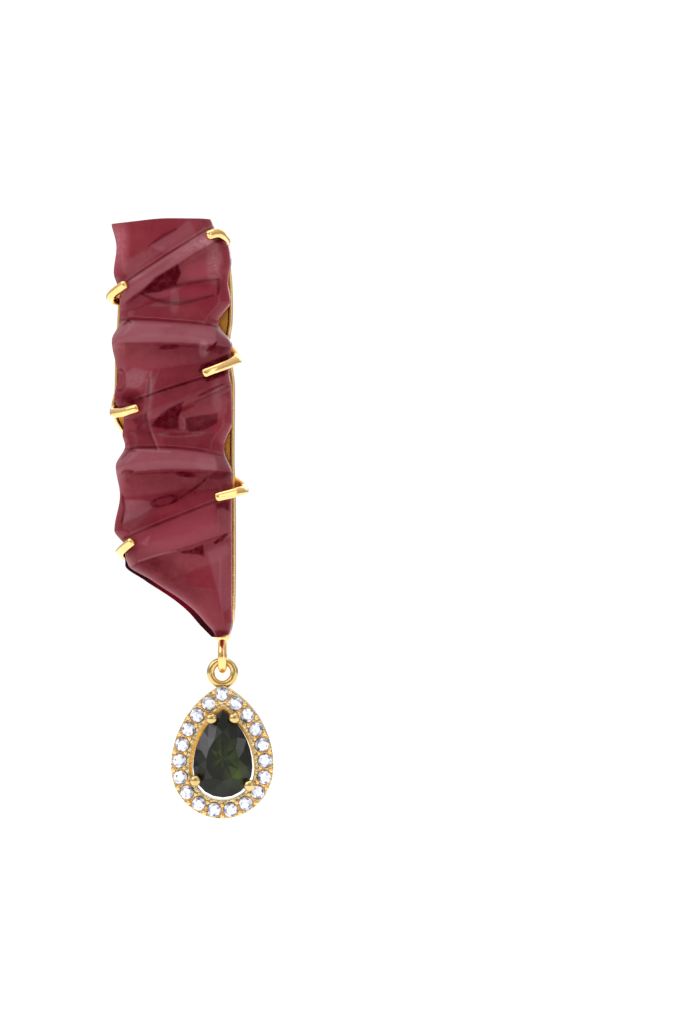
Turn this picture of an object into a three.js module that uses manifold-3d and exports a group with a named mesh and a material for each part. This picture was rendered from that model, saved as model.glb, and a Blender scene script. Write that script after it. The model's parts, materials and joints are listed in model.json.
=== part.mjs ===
// A drop earring for a pierced ear: a long carved stone held by six claws on a gold tray, and a
// pear-shaped cluster that hangs below it on two interlocked links.
// Millimetres. +Z is up, the front faces -Y, and the origin is the root of the ear post, on the
// tray's back face.

import * as THREE from "three";
import { mergeVertices } from "three/addons/utils/BufferGeometryUtils.js";
import Module from "manifold-3d";

const wasm = await Module();
wasm.setup();

// Driving dimensions of the carved stone
const stoneLength = 41.8;
const stoneWidth = 12.2;
const stoneRim = 1.9; // thickness of the stone at its front edge
const stoneDoming = 0.75; // rise of the middle over the sides
const stoneEdgeRound = 1.5; // width of the rounded front edge
const stoneEdgeRise = 0.75; // height of the rounded front edge
const foldHeight = 1.25; // tallest fold over its valley
const wallLean = 0.32; // how far the front edge stands inside the girdle
const footLean = 0.55; // more lean on the slanting lower edge
const backBevel = 0.4;
const topCornerDrop = 0.45; // the left end of the sawn top lies lower

// Driving dimensions of the tray and its claws
const trayFloor = 0.8;
const trayDepth = 1.9; // floor and rim together
const trayRim = 0.45;
const windowWidth = 5.4;
const windowHeight = 4.4;
const clawWidth = 0.9;
const clawThickness = 0.7;

// Driving dimensions of the ear post
const postAcross = 7.25; // from the stone's left side
const postDown = 5.2; // from the stone's top
const postLength = 11.0;
const postDiameter = 0.9;
const postPadDiameter = 3.6;
const postPadThickness = 0.5;
const postGroove = 0.12; // depth of the groove that a clutch snaps into

// Driving dimensions of the links
const bailWire = 0.84;
const bailInnerHeight = 1.95;
const bailInnerWidth = 1.5;
const bailAcross = 11.1; // from the stone's left side
const bailForward = 1.45; // from the tray's back
const tabLength = 0.75;
const tabWidth = 1.25;
const ringWire = 0.8;
const ringInner = 1.56;
const linkPlay = 0.08; // free space between bail and ring

// Driving dimensions of the pear-shaped cluster
const haloWidth = 10.3;
const haloSideRadius = 9.3;
const haloTipRadius = 0.75;
const haloBand = 1.86; // from the outer edge to the opening
const haloThickness = 1.5;
const haloRowInset = 0.82; // from the outer edge to the line of small stones
const ringSink = 0.3; // how deep the ring is soldered into the frame's tip
const haloSetback = 0.1; // the frame stands behind the ring's middle, so that the stones hang level
const pearGap = 0.3; // light gap between the pear stone and its frame
const pearShiftAcross = -0.06; // the stone sits a little to one side of its opening
const pearShiftUp = 0.06;
const pearCrown = 1.0;
const pearGirdle = 0.25;
const pearPavilion = 1.9;
const pearTable = 0.56;
const pearRaise = 0.1; // girdle in front of the frame's front face
const prongDiameter = 0.72;
const prongTip = 1.05; // diameter of the bead at the end of a prong
const accentCount = 19;
const accentDiameter = 1.38;
const accentTable = 0.57;
const accentCrown = 0.24;
const accentGirdle = 0.06;
const accentPavilion = 0.58;
const accentSet = 0.1; // girdle in front of the frame's front face
const grainDiameter = 0.42;
const grainRise = 0.22;

// Clearance
const seatGap = 0.1; // between a stone and the metal that holds it

// Mesh density
const stoneRows = 64;
const stoneColumns = 21;

// The carved stone's edges: down is a share of the stone's length from its top, across a share of
// its width from its left side. Each row is a bulge, a waist or a corner.
const leftEdge = [
  { down: 0.0, across: 0.0 },
  { down: 0.065, across: 0.04 },
  { down: 0.124, across: 0.018 },
  { down: 0.17, across: 0.061 },
  { down: 0.242, across: 0.071 },
  { down: 0.29, across: 0.002 },
  { down: 0.376, across: 0.053 },
  { down: 0.428, across: 0.022 },
  { down: 0.481, across: 0.102 },
  { down: 0.514, across: 0.09 },
  { down: 0.541, across: 0.111 },
  { down: 0.591, across: 0.034 },
  { down: 0.66, across: 0.069 },
  { down: 0.744, across: 0.023 },
  { down: 0.785, across: 0.112 },
  { down: 0.828, across: 0.134 },
  { down: 0.864, across: 0.303 },
  { down: 0.912, across: 0.534 },
  { down: 0.941, across: 0.643 },
  { down: 0.971, across: 0.749 },
  { down: 1.0, across: 0.864 },
];
const rightEdge = [
  { down: 0.0, across: 0.827 },
  { down: 0.02, across: 0.85 },
  { down: 0.048, across: 0.895 },
  { down: 0.066, across: 0.972 },
  { down: 0.098, across: 0.987 },
  { down: 0.148, across: 0.965 },
  { down: 0.194, across: 0.986 },
  { down: 0.246, across: 0.889 },
  { down: 0.301, across: 0.995 },
  { down: 0.361, across: 0.977 },
  { down: 0.404, across: 0.995 },
  { down: 0.481, across: 1.0 },
  { down: 0.546, across: 0.934 },
  { down: 0.612, across: 1.0 },
  { down: 0.684, across: 0.992 },
  { down: 0.912, across: 0.992 },
  { down: 0.964, across: 1.0 },
  { down: 0.993, across: 0.979 },
  { down: 1.0, across: 0.93 },
];

// Carved folds, from the top down. Left, middle and right give the crest's place as shares of the
// stone's length, above and below the widths of the fold's two flanks in the same shares, and the
// three heights shares of foldHeight.
const folds = [
  { left: 0.151, middle: 0.067, right: -0.02, above: 0.036, below: 0.017, heights: [0.25, 0.42, 0.35] },
  { left: 0.215, middle: 0.12, right: 0.052, above: 0.038, below: 0.056, heights: [0.75, 1.0, 0.8] },
  { left: 0.301, middle: 0.302, right: 0.299, above: 0.055, below: 0.04, heights: [0.85, 1.0, 0.6] },
  { left: 0.404, middle: 0.402, right: 0.41, above: 0.043, below: 0.034, heights: [0.75, 0.4, 0.0] },
  { left: 0.55, middle: 0.462, right: 0.405, above: 0.055, below: 0.062, heights: [0.0, 0.95, 0.9] },
  { left: 0.612, middle: 0.6, right: 0.616, above: 0.053, below: 0.043, heights: [0.9, 1.0, 0.65] },
  { left: 0.738, middle: 0.677, right: 0.596, above: 0.057, below: 0.05, heights: [0.8, 0.75, 0.35] },
  { left: 0.835, middle: 0.792, right: 0.758, above: 0.062, below: 0.085, heights: [0.75, 0.75, 0.5] },
];

// Ribs that run down the stone: the two ends as shares, the half width as a share of the width and
// the height as a share of foldHeight.
const ribs = [
  { fromAcross: 0.85, fromDown: 0.075, toAcross: 0.875, toDown: 0.23, halfWidth: 0.07, height: 0.6 },
  { fromAcross: 0.875, fromDown: 0.42, toAcross: 0.86, toDown: 0.545, halfWidth: 0.07, height: 0.55 },
  { fromAcross: 0.34, fromDown: 0.38, toAcross: 0.295, toDown: 0.49, halfWidth: 0.05, height: 0.5 },
  { fromAcross: 0.295, fromDown: 0.49, toAcross: 0.385, toDown: 0.56, halfWidth: 0.05, height: 0.45 },
];

// Scooped hollows: the centre and half sizes as shares, the depth as a share of foldHeight.
const hollows = [
  { across: 0.5, down: 0.17, halfAcross: 0.36, halfDown: 0.042, depth: 0.42 },
  { across: 0.64, down: 0.495, halfAcross: 0.32, halfDown: 0.036, depth: 0.42 },
  { across: 0.42, down: 0.655, halfAcross: 0.4, halfDown: 0.04, depth: 0.25 },
  { across: 0.08, down: 0.385, halfAcross: 0.05, halfDown: 0.026, depth: 0.3 },
];

// The tray's edges, in the same shares.
const trayLeftEdge = [
  { down: 0.02, across: 0.08 },
  { down: 0.19, across: 0.05 },
  { down: 0.25, across: 0.04 },
  { down: 0.32, across: 0.025 },
  { down: 0.425, across: 0.022 },
  { down: 0.49, across: 0.1 },
  { down: 0.545, across: 0.135 },
  { down: 0.62, across: 0.1 },
  { down: 0.75, across: 0.085 },
  { down: 0.8, across: 0.145 },
  { down: 0.838, across: 0.235 },
  { down: 0.88, across: 0.44 },
  { down: 0.93, across: 0.655 },
  { down: 0.962, across: 0.775 },
  { down: 0.99, across: 0.865 },
];
const trayRightEdge = [
  { down: 0.02, across: 0.83 },
  { down: 0.047, across: 0.955 },
  { down: 0.2, across: 0.995 },
  { down: 0.24, across: 0.992 },
  { down: 0.285, across: 0.972 },
  { down: 0.34, across: 0.99 },
  { down: 0.4, across: 1.012 },
  { down: 0.58, across: 1.008 },
  { down: 0.65, across: 1.03 },
  { down: 0.82, across: 1.034 },
  { down: 0.91, across: 1.028 },
  { down: 0.965, across: 1.01 },
  { down: 0.99, across: 0.95 },
];
const windowsDown = [0.315, 0.46, 0.605]; // centres of the openings in the tray's floor
const windowAcross = 0.53;

// The claws: where each leaves the tray, where it stands out furthest and where it ends on the
// stone, as shares of the stone's width and length.
const claws = [
  { rootAcross: 0.955, rootDown: 0.058, outAcross: 0.96, outDown: 0.029, tipAcross: 0.79, tipDown: 0.042 },
  { rootAcross: 0.075, rootDown: 0.205, outAcross: -0.022, outDown: 0.188, tipAcross: 0.13, tipDown: 0.163 },
  { rootAcross: 0.99, rootDown: 0.312, outAcross: 1.055, outDown: 0.333, tipAcross: 0.76, tipDown: 0.371 },
  { rootAcross: 0.045, rootDown: 0.468, outAcross: 0.002, outDown: 0.457, tipAcross: 0.22, tipDown: 0.452 },
  { rootAcross: 1.01, rootDown: 0.63, outAcross: 1.115, outDown: 0.648, tipAcross: 0.875, tipDown: 0.665 },
  { rootAcross: 0.135, rootDown: 0.805, outAcross: 0.045, outDown: 0.796, tipAcross: 0.185, tipDown: 0.767 },
];

// The prongs of the pear stone, by their angle round it from straight down, in degrees.
const prongAngles = [-158, -66, 61, 158];

const toX = (across) => across * stoneWidth - postAcross;
const toZ = (down) => postDown - down * stoneLength;
const clamp = (value, low, high) => Math.min(high, Math.max(low, value));
const smooth = (value) => value * value * (3 - 2 * value);

// A smooth curve through the rows of an edge table that never overshoots a bulge or a waist.
function edgeAt(table, down) {
  const last = table.length - 1;
  const step = (i) => table[i + 1].down - table[i].down;
  const chord = (i) => (table[i + 1].across - table[i].across) / step(i);
  const slope = (i) => {
    if (i === 0) return chord(0);
    if (i === last) return chord(last - 1);
    const [before, after] = [chord(i - 1), chord(i)];
    return before * after <= 0 ? 0 : (2 * before * after) / (before + after);
  };
  let i = 0;
  while (i < last - 1 && down > table[i + 1].down) i++;
  const t = clamp((down - table[i].down) / step(i), 0, 1);
  const [t2, t3] = [t * t, t * t * t];
  return (
    (2 * t3 - 3 * t2 + 1) * table[i].across +
    (t3 - 2 * t2 + t) * step(i) * slope(i) +
    (3 * t2 - 2 * t3) * table[i + 1].across +
    (t3 - t2) * step(i) * slope(i + 1)
  );
}

// The parabola through three values at the stone's left side, middle and right side.
function acrossThree(left, middle, right, across) {
  const bend = 2 * (left + right - 2 * middle);
  return left + across * (right - left - bend) + across * across * bend;
}

// A larger-of-two that rounds the valley where two folds meet.
function blendMax(a, b) {
  const round = 0.12;
  const share = Math.max(round - Math.abs(a - b), 0) / round;
  return Math.max(a, b) + (share * share * round) / 4;
}

// Height of one fold: a crisp crease above, a rounded crest and a soft foot below.
function foldRise(fold, across, down) {
  const below = down - acrossThree(fold.left, fold.middle, fold.right, across);
  const height = foldHeight * acrossThree(...fold.heights, across);
  const share = below < 0 ? 1 + below / fold.above : 1 - below / fold.below;
  if (share <= 0 || height <= 0) return 0;
  return height * (below < 0 ? Math.sin((share * Math.PI) / 2) : smooth(share));
}

// Height of one rib, a rounded bar along a straight line.
function ribRise(rib, across, down) {
  const run = [(rib.toAcross - rib.fromAcross) * stoneWidth, (rib.toDown - rib.fromDown) * stoneLength];
  const here = [(across - rib.fromAcross) * stoneWidth, (down - rib.fromDown) * stoneLength];
  const along = clamp((here[0] * run[0] + here[1] * run[1]) / (run[0] ** 2 + run[1] ** 2), 0, 1);
  const away = Math.hypot(here[0] - along * run[0], here[1] - along * run[1]);
  const share = clamp(1 - away / (rib.halfWidth * stoneWidth), 0, 1);
  return foldHeight * rib.height * smooth(share);
}

function hollowDepth(hollow, across, down) {
  const off = Math.hypot((across - hollow.across) / hollow.halfAcross, (down - hollow.down) / hollow.halfDown);
  return foldHeight * hollow.depth * smooth(clamp(1 - off, 0, 1));
}

// Thickness of the stone over its flat back, at a place given in shares.
function stoneThickness(across, down) {
  const [left, right] = [edgeAt(leftEdge, down), edgeAt(rightEdge, down)];
  const middle = (left + right) / 2;
  const half = Math.max((right - left) / 2, 0.01);
  const off = clamp(Math.abs(across - middle) / half, 0, 1);
  const toEdge = (half * (1 - off) * stoneWidth) / stoneEdgeRound;
  const lean = (Math.abs(edgeAt(leftEdge, down + 0.01) - left) * stoneWidth) / (0.01 * stoneLength);
  const near = clamp(toEdge / (across < middle ? Math.hypot(1, lean) : 1), 0, 1);
  const rounded = Math.sqrt(1 - (1 - near) ** 2);
  let relief = 0;
  for (const fold of folds) relief = blendMax(relief, foldRise(fold, across, down));
  for (const rib of ribs) relief = blendMax(relief, ribRise(rib, across, down));
  for (const hollow of hollows) relief -= hollowDepth(hollow, across, down);
  const toFoot = clamp((1 - down) / 0.12, 0, 1);
  return (
    stoneRim +
    stoneEdgeRise * rounded +
    stoneDoming * (1 - off * off) * toFoot +
    relief * (0.45 + 0.55 * rounded)
  );
}

// A geometry whose triangles all face out, from points and an index that may run either way round.
function facingOut(points, index) {
  let volume = 0;
  for (let i = 0; i < index.length; i += 3) {
    const [a, b, c] = [points[index[i]], points[index[i + 1]], points[index[i + 2]]];
    volume += a.clone().cross(b).dot(c);
  }
  const geometry = new THREE.BufferGeometry().setFromPoints(points);
  geometry.setIndex(volume < 0 ? index.toReversed() : index);
  return geometry;
}

// A closed mesh from rings of equal length, each a list of points, with both ends capped.
function loft(rings) {
  const count = rings[0].length;
  const index = [];
  for (let row = 0; row < rings.length - 1; row++) {
    for (let i = 0; i < count; i++) {
      const [a, b] = [row * count + i, row * count + ((i + 1) % count)];
      index.push(a, b, b + count, a, b + count, a + count);
    }
  }
  const points = rings.flat();
  for (const [row, flip] of [[0, true], [rings.length - 1, false]]) {
    const middle = new THREE.Vector3();
    for (const point of rings[row]) middle.addScaledVector(point, 1 / count);
    points.push(middle);
    for (let i = 0; i < count; i++) {
      const [a, b] = [row * count + i, row * count + ((i + 1) % count)];
      index.push(...(flip ? [b, a] : [a, b]), points.length - 1);
    }
  }
  return facingOut(points, index);
}

// A three.js geometry as a manifold-3d solid, and back.
function solidOf(geometry) {
  const bare = geometry.clone();
  bare.deleteAttribute("normal");
  bare.deleteAttribute("uv");
  const merged = mergeVertices(bare, 1e-4);
  const mesh = new wasm.Mesh({
    numProp: 3,
    vertProperties: merged.attributes.position.array,
    triVerts: new Uint32Array(merged.index.array),
  });
  return new wasm.Manifold(mesh);
}

function geometryOf(solid) {
  const mesh = solid.getMesh();
  const geometry = new THREE.BufferGeometry();
  geometry.setAttribute("position", new THREE.BufferAttribute(new Float32Array(mesh.vertProperties), 3));
  geometry.setIndex(new THREE.BufferAttribute(new Uint32Array(mesh.triVerts), 1));
  geometry.computeVertexNormals();
  return geometry;
}

// The carved stone, lofted down its length through closed sections. A gap swells it, to cut what
// has to stay clear of it.
function makeCarvedStone(gap) {
  const back = -(trayDepth + seatGap) + gap / 2;
  const sections = [];
  for (let row = 0; row <= stoneRows; row++) {
    const down = row / stoneRows;
    const [left, right] = [toX(edgeAt(leftEdge, down)) - gap, toX(edgeAt(rightEdge, down)) + gap];
    const width = right - left;
    const end = (row === 0 ? gap : 0) - (row === stoneRows ? gap : 0);
    const slant = smooth(clamp((down - 0.8) / 0.06, 0, 1));
    const leanLeft = Math.min(wallLean + footLean * slant, width * 0.3);
    const leanRight = Math.min(wallLean, width * 0.3);
    const bevel = Math.min(backBevel, width * 0.3);
    const shift = (x) => topCornerDrop * (1 - smooth(clamp((x - left) / (0.6 * width), 0, 1)));
    const sag = Math.max(0, 1 - down / 0.06);
    const at = (x, thickness) => new THREE.Vector3(x, back - thickness, toZ(down) - shift(x) * sag + end);
    const edge = (across) => stoneThickness(across, down) + 1.5 * gap;
    const section = [at(right - bevel, 0), at(left + bevel, 0), at(left, 0.3 * stoneRim)];
    for (let column = 0; column <= stoneColumns; column++) {
      const share = column / stoneColumns;
      const spread = 0.5 - 0.5 * Math.cos(Math.PI * share);
      const even = 0.35 * spread + 0.65 * share;
      const x = left + leanLeft + even * (width - leanLeft - leanRight);
      section.push(at(x, edge((left + even * width + postAcross) / stoneWidth)));
    }
    section.push(at(right, 0.3 * stoneRim));
    sections.push(section);
  }
  return loft(sections);
}

// The tray's outline in X and Z, moved inwards by an inset.
function trayLoop(inset) {
  const rows = 32;
  const low = trayLeftEdge[0].down;
  const high = trayLeftEdge[trayLeftEdge.length - 1].down;
  const loop = [];
  for (let row = 0; row <= rows; row++) {
    const down = low + ((high - low) * row) / rows;
    loop.push(new THREE.Vector2(toX(edgeAt(trayLeftEdge, down)), toZ(down)));
  }
  for (let row = rows; row >= 0; row--) {
    const down = low + ((high - low) * row) / rows;
    loop.push(new THREE.Vector2(toX(edgeAt(trayRightEdge, down)), toZ(down)));
  }
  const count = loop.length;
  return loop.map((point, i) => {
    const before = point.clone().sub(loop[(i + count - 1) % count]).normalize();
    const after = loop[(i + 1) % count].clone().sub(point).normalize();
    const inwards = new THREE.Vector2(-before.y - after.y, before.x + after.x).normalize();
    const spread = Math.max(0.6, Math.sqrt((1 + before.dot(after)) / 2));
    return point.clone().addScaledVector(inwards, inset / spread);
  });
}

// A flat plate drawn in X and Z, from one distance in front of the tray's back to another.
function plate(shape, from, to) {
  const geometry = new THREE.ExtrudeGeometry(shape, { depth: to - from, bevelEnabled: false });
  geometry.rotateX(Math.PI / 2);
  geometry.translate(0, -from, 0);
  return geometry;
}

function makeTray() {
  const floor = new THREE.Shape(trayLoop(0));
  for (const down of windowsDown) {
    const hole = new THREE.Path();
    hole.absellipse(toX(windowAcross), toZ(down), windowWidth / 2, windowHeight / 2, 0, 2 * Math.PI);
    floor.holes.push(new THREE.Path(hole.getPoints(20).slice(0, -1)));
  }
  const rim = new THREE.Shape(trayLoop(0));
  rim.holes.push(new THREE.Path(trayLoop(trayRim)));
  return solidOf(plate(floor, 0, trayFloor)).add(solidOf(plate(rim, trayFloor / 2, trayDepth)));
}

// A bar swept along a curve, with a chamfered rectangular section.
function sweptBar(points, width, thickness, steps) {
  const [w, t, cut] = [width / 2, thickness / 2, Math.min(width, thickness) * 0.28];
  const section = new THREE.Shape([
    new THREE.Vector2(-w, -t + cut),
    new THREE.Vector2(-w + cut, -t),
    new THREE.Vector2(w - cut, -t),
    new THREE.Vector2(w, -t + cut),
    new THREE.Vector2(w, t - cut),
    new THREE.Vector2(w - cut, t),
    new THREE.Vector2(-w + cut, t),
    new THREE.Vector2(-w, t - cut),
  ]);
  const curve = new THREE.CatmullRomCurve3(points, false, "centripetal");
  const rings = [];
  for (let step = 0; step <= steps; step++) {
    const centre = curve.getPointAt(step / steps);
    const along = curve.getTangentAt(step / steps);
    const side = new THREE.Vector3(-(points.at(-1).z - points[0].z), 0, points.at(-1).x - points[0].x);
    side.addScaledVector(along, -side.dot(along)).normalize();
    const up = new THREE.Vector3().crossVectors(side, along);
    const shrink = step === steps ? 0.8 : 1;
    rings.push(
      section.getPoints().map((p) => centre.clone().addScaledVector(side, p.x * shrink).addScaledVector(up, p.y * shrink)),
    );
  }
  return loft(rings);
}

// One claw: it leaves the tray's rim, stands out past the stone and lies down on its front.
function makeClaw(claw) {
  const root = new THREE.Vector3(toX(claw.rootAcross), -trayDepth / 2, toZ(claw.rootDown));
  const out = new THREE.Vector3(toX(claw.outAcross), -trayDepth - stoneRim * 0.75, toZ(claw.outDown));
  const tip = new THREE.Vector3(toX(claw.tipAcross), 0, toZ(claw.tipDown));
  const half = clawWidth / (2 * stoneLength);
  const points = [root, root.clone().lerp(out, 0.55).setY(-trayDepth), out];
  const inside = claw.outAcross > 0.5 ? 0.99 : 0.01;
  for (const share of [0.42, 0.7, 1]) {
    const across = claw.outAcross + (claw.tipAcross - claw.outAcross) * share;
    const down = claw.outDown + (claw.tipDown - claw.outDown) * share;
    let top = 0;
    for (const reach of [-1.3, -0.65, 0, 0.65, 1.3]) {
      const seen = claw.outAcross > 0.5 ? Math.min(across, inside) : Math.max(across, inside);
      top = Math.max(top, stoneThickness(seen, down + reach * half));
    }
    const point = out.clone().lerp(tip, share);
    point.y = -(trayDepth + 2 * seatGap + top + clawThickness / 2);
    points.push(point);
  }
  return solidOf(sweptBar(points, clawWidth, clawThickness, 11));
}

// A closed ring of round wire standing in the Y-Z plane.
function standingRing(innerWidth, innerHeight, wire) {
  const [around, sides] = [20, 8];
  const points = [];
  const index = [];
  for (let i = 0; i < around; i++) {
    const turn = (2 * Math.PI * i) / around;
    const [halfY, halfZ] = [(innerWidth + wire) / 2, (innerHeight + wire) / 2];
    const centre = new THREE.Vector3(0, halfY * Math.cos(turn), halfZ * Math.sin(turn));
    const outward = new THREE.Vector3(0, halfZ * Math.cos(turn), halfY * Math.sin(turn)).normalize();
    for (let j = 0; j < sides; j++) {
      const roll = (2 * Math.PI * j) / sides;
      const point = centre.clone().addScaledVector(outward, (wire / 2) * Math.cos(roll));
      points.push(point.setX((wire / 2) * Math.sin(roll)));
      const [a, b] = [i * sides + j, i * sides + ((j + 1) % sides)];
      const [c, d] = [((i + 1) % around) * sides + j, ((i + 1) % around) * sides + ((j + 1) % sides)];
      index.push(a, d, b, a, c, d);
    }
  }
  return facingOut(points, index);
}

// Where the links are: the tray's lower end, the bail's middle and the ring's pivot.
const bailX = bailAcross - postAcross;
const bailY = -bailForward;
const trayFootZ = toZ(trayLeftEdge[trayLeftEdge.length - 1].down);
const bailZ = toZ(1) - tabLength - bailInnerHeight / 2 - bailWire * 0.3;
const bailLowZ = bailZ - (bailInnerHeight + bailWire) / 2;
const pivotZ = bailLowZ + (bailWire + ringWire) / 2 + linkPlay;

function makeBail() {
  const ring = standingRing(bailInnerWidth, bailInnerHeight, bailWire);
  ring.translate(bailX, bailY, bailZ);
  const top = trayFootZ + 0.5;
  const foot = bailZ + bailInnerHeight / 2 + bailWire * 0.15;
  const ends = [
    { z: top, half: tabWidth / 2, front: trayDepth - 0.05 },
    { z: toZ(1) - 0.1, half: tabWidth / 2, front: bailForward + 0.55 },
    { z: foot, half: bailWire * 0.42, front: bailForward + 0.55 },
  ];
  const rings = ends.map(({ z, half, front }) => [
    new THREE.Vector3(bailX - half, -0.15, z),
    new THREE.Vector3(bailX - half, -front, z),
    new THREE.Vector3(bailX + half, -front, z),
    new THREE.Vector3(bailX + half, -0.15, z),
  ]);
  return solidOf(ring).add(solidOf(loft(rings)));
}

// The ear post, with its pad against the tray's back and a groove near its rounded end.
function makePost() {
  const [radius, pad, groove] = [postDiameter / 2, postPadDiameter / 2, postDiameter / 2 - postGroove];
  const grooveAt = postLength - 2.6;
  const profile = [
    [0, -trayFloor / 2],
    [pad * 0.9, -trayFloor / 2],
    [pad, postPadThickness * 0.5],
    [pad * 0.86, postPadThickness],
    [radius, postPadThickness + 0.15],
    [radius, grooveAt],
    [groove, grooveAt + 0.2],
    [groove, grooveAt + 0.5],
    [radius, grooveAt + 0.7],
    [radius, postLength - 0.3],
    [radius * 0.5, postLength],
    [0, postLength],
  ];
  return solidOf(new THREE.LatheGeometry(profile.map(([r, y]) => new THREE.Vector2(r, y)), 14));
}

function makeStoneSetting() {
  let metal = makeTray().add(makeBail()).add(makePost());
  for (const claw of claws) metal = metal.add(makeClaw(claw));
  return geometryOf(metal.subtract(solidOf(makeCarvedStone(seatGap))));
}

// A pear outline round the origin of its lobe, moved outwards by an offset. Angle 0 is straight
// down and the outline runs the full turn, so that a share of the turn gives a point.
function pearPoints(offset, count) {
  const lobe = haloWidth / 2 + offset;
  const side = haloSideRadius + offset;
  const tip = Math.max(haloTipRadius + offset, 0);
  const reach = haloSideRadius - haloWidth / 2;
  const tipZ = Math.sqrt((haloSideRadius - haloTipRadius) ** 2 - reach ** 2);
  const turnSide = tip > 0 ? Math.asin(tipZ / (haloSideRadius - haloTipRadius)) : Math.acos(reach / side);
  const lengths = [(lobe * Math.PI) / 2, side * turnSide, tip * (Math.PI / 2 - turnSide)];
  const half = lengths[0] + lengths[1] + lengths[2];
  const rightHalf = (run) => {
    if (run <= lengths[0]) return [lobe * Math.sin(run / lobe), -lobe * Math.cos(run / lobe)];
    if (run <= lengths[0] + lengths[1]) {
      const turn = (run - lengths[0]) / side;
      return [side * Math.cos(turn) - reach, side * Math.sin(turn)];
    }
    const turn = tip > 0 ? turnSide + (run - lengths[0] - lengths[1]) / tip : Math.PI / 2;
    return [tip * Math.cos(turn), tip > 0 ? tipZ + tip * Math.sin(turn) : side * Math.sin(turnSide)];
  };
  const points = [];
  for (let i = 0; i < count; i++) {
    const run = (2 * half * i) / count;
    const [x, z] = rightHalf(Math.min(run, 2 * half - run));
    points.push(new THREE.Vector2(run > half ? -x : x, z));
  }
  return points;
}

// Where the cluster hangs.
const pearTop = Math.sqrt((haloSideRadius - haloTipRadius) ** 2 - (haloSideRadius - haloWidth / 2) ** 2) + haloTipRadius;
const ringRadius = (ringInner + ringWire) / 2;
const ringZ = pivotZ - ringRadius;
const haloZ = ringZ - ringRadius - ringWire / 2 + ringSink - pearTop;
const haloFront = bailY + haloSetback - haloThickness / 2;

// A faceted stone from its outline: two rings of girdle points, a table, the corners of the star
// facets and the breaks of the pavilion, and one lowest point. The front faces -Y.
function cutStone(outline, middle, table, crown, girdle, pavilion, grow) {
  const count = outline.length;
  const corners = count / 2;
  const point = (i, share, y) => {
    const p = outline[((i % count) + count) % count];
    return new THREE.Vector3(p.x * share, y, middle + (p.y - middle) * share);
  };
  const ring = (make) => Array.from({ length: corners }, (_, i) => make(2 * i));
  const wide = Math.cos(Math.PI / count);
  const rings = {
    table: ring((i) => point(i, table, -girdle / 2 - crown - grow)),
    star: ring((i) => point(i + 1, (table + (1 - table) * 0.48) / wide, -girdle / 2 - crown * 0.52 - grow)),
    upper: Array.from({ length: count }, (_, i) => point(i, 1, -girdle / 2 - grow)),
    lower: Array.from({ length: count }, (_, i) => point(i, 1, girdle / 2 + grow)),
    pavilion: ring((i) => point(i + 1, 0.3, girdle / 2 + pavilion * 0.74 + grow)),
    culet: [new THREE.Vector3(0, girdle / 2 + pavilion + grow, middle)],
  };
  const faces = [];
  const face = (...corner) => faces.push(...corner);
  for (let i = 0; i < corners; i++) {
    const next = (i + 1) % corners;
    const [a, b, c] = [2 * i, 2 * i + 1, (2 * i + 2) % count];
    const before = (i + corners - 1) % corners;
    if (i > 0 && i < corners - 1) face(rings.table[0], rings.table[i], rings.table[next]);
    face(rings.table[i], rings.star[i], rings.table[next]);
    face(rings.table[i], rings.upper[a], rings.star[i]);
    face(rings.table[i], rings.star[before], rings.upper[a]);
    face(rings.star[i], rings.upper[a], rings.upper[b]);
    face(rings.star[i], rings.upper[b], rings.upper[c]);
    for (const [from, to] of [[a, b], [b, c]]) {
      face(rings.upper[from], rings.lower[from], rings.lower[to]);
      face(rings.upper[from], rings.lower[to], rings.upper[to]);
      face(rings.lower[from], rings.pavilion[i], rings.lower[to]);
    }
    face(rings.lower[a], rings.pavilion[before], rings.pavilion[i]);
    face(rings.culet[0], rings.pavilion[i], rings.pavilion[before]);
  }
  return new THREE.BufferGeometry().setFromPoints(faces);
}

const pearMiddle = 0.9; // where the pear stone's facets meet, above the middle of its lobe
const pearDrop = new THREE.Vector3(bailX + pearShiftAcross, haloFront - pearRaise, haloZ + pearShiftUp);

// The pear stone where it is set, or swollen by a gap to cut its seat.
function pearCut(gap) {
  const outline = pearPoints(-haloBand - pearGap + gap, 24);
  const stone = cutStone(outline, pearMiddle, pearTable, pearCrown, pearGirdle, pearPavilion, gap);
  return stone.translate(pearDrop.x, pearDrop.y, pearDrop.z);
}

// The middles of the small stones, evenly spaced round the halo with the first at the top.
function accentPlaces() {
  const fine = 20 * accentCount;
  const row = pearPoints(-haloRowInset, fine);
  return Array.from({ length: accentCount }, (_, i) => {
    const p = row[(fine / 2 + 20 * i) % fine];
    return new THREE.Vector3(bailX + p.x, haloFront - accentSet, haloZ + p.y);
  });
}

function accentCut(place) {
  const radius = accentDiameter / 2;
  const outline = Array.from({ length: 16 }, (_, i) => {
    const turn = (2 * Math.PI * i) / 16;
    return new THREE.Vector2(radius * Math.sin(turn), -radius * Math.cos(turn));
  });
  const stone = cutStone(outline, 0, accentTable, accentCrown, accentGirdle, accentPavilion, 0);
  return stone.translate(place.x, place.y, place.z);
}

// A cup-shaped seat for a small stone: straight at the girdle and narrowing behind it.
function accentSeat(place) {
  const radius = accentDiameter / 2 + seatGap;
  const profile = [
    [0, -accentCrown - 1],
    [radius, -accentCrown - 1],
    [radius, accentGirdle + seatGap],
    [radius * 0.3, accentPavilion + 2 * seatGap],
    [0, accentPavilion + 2 * seatGap],
  ];
  const cup = new THREE.LatheGeometry(profile.map(([r, y]) => new THREE.Vector2(r, y)), 10);
  return solidOf(cup.translate(place.x, place.y, place.z));
}

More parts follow.
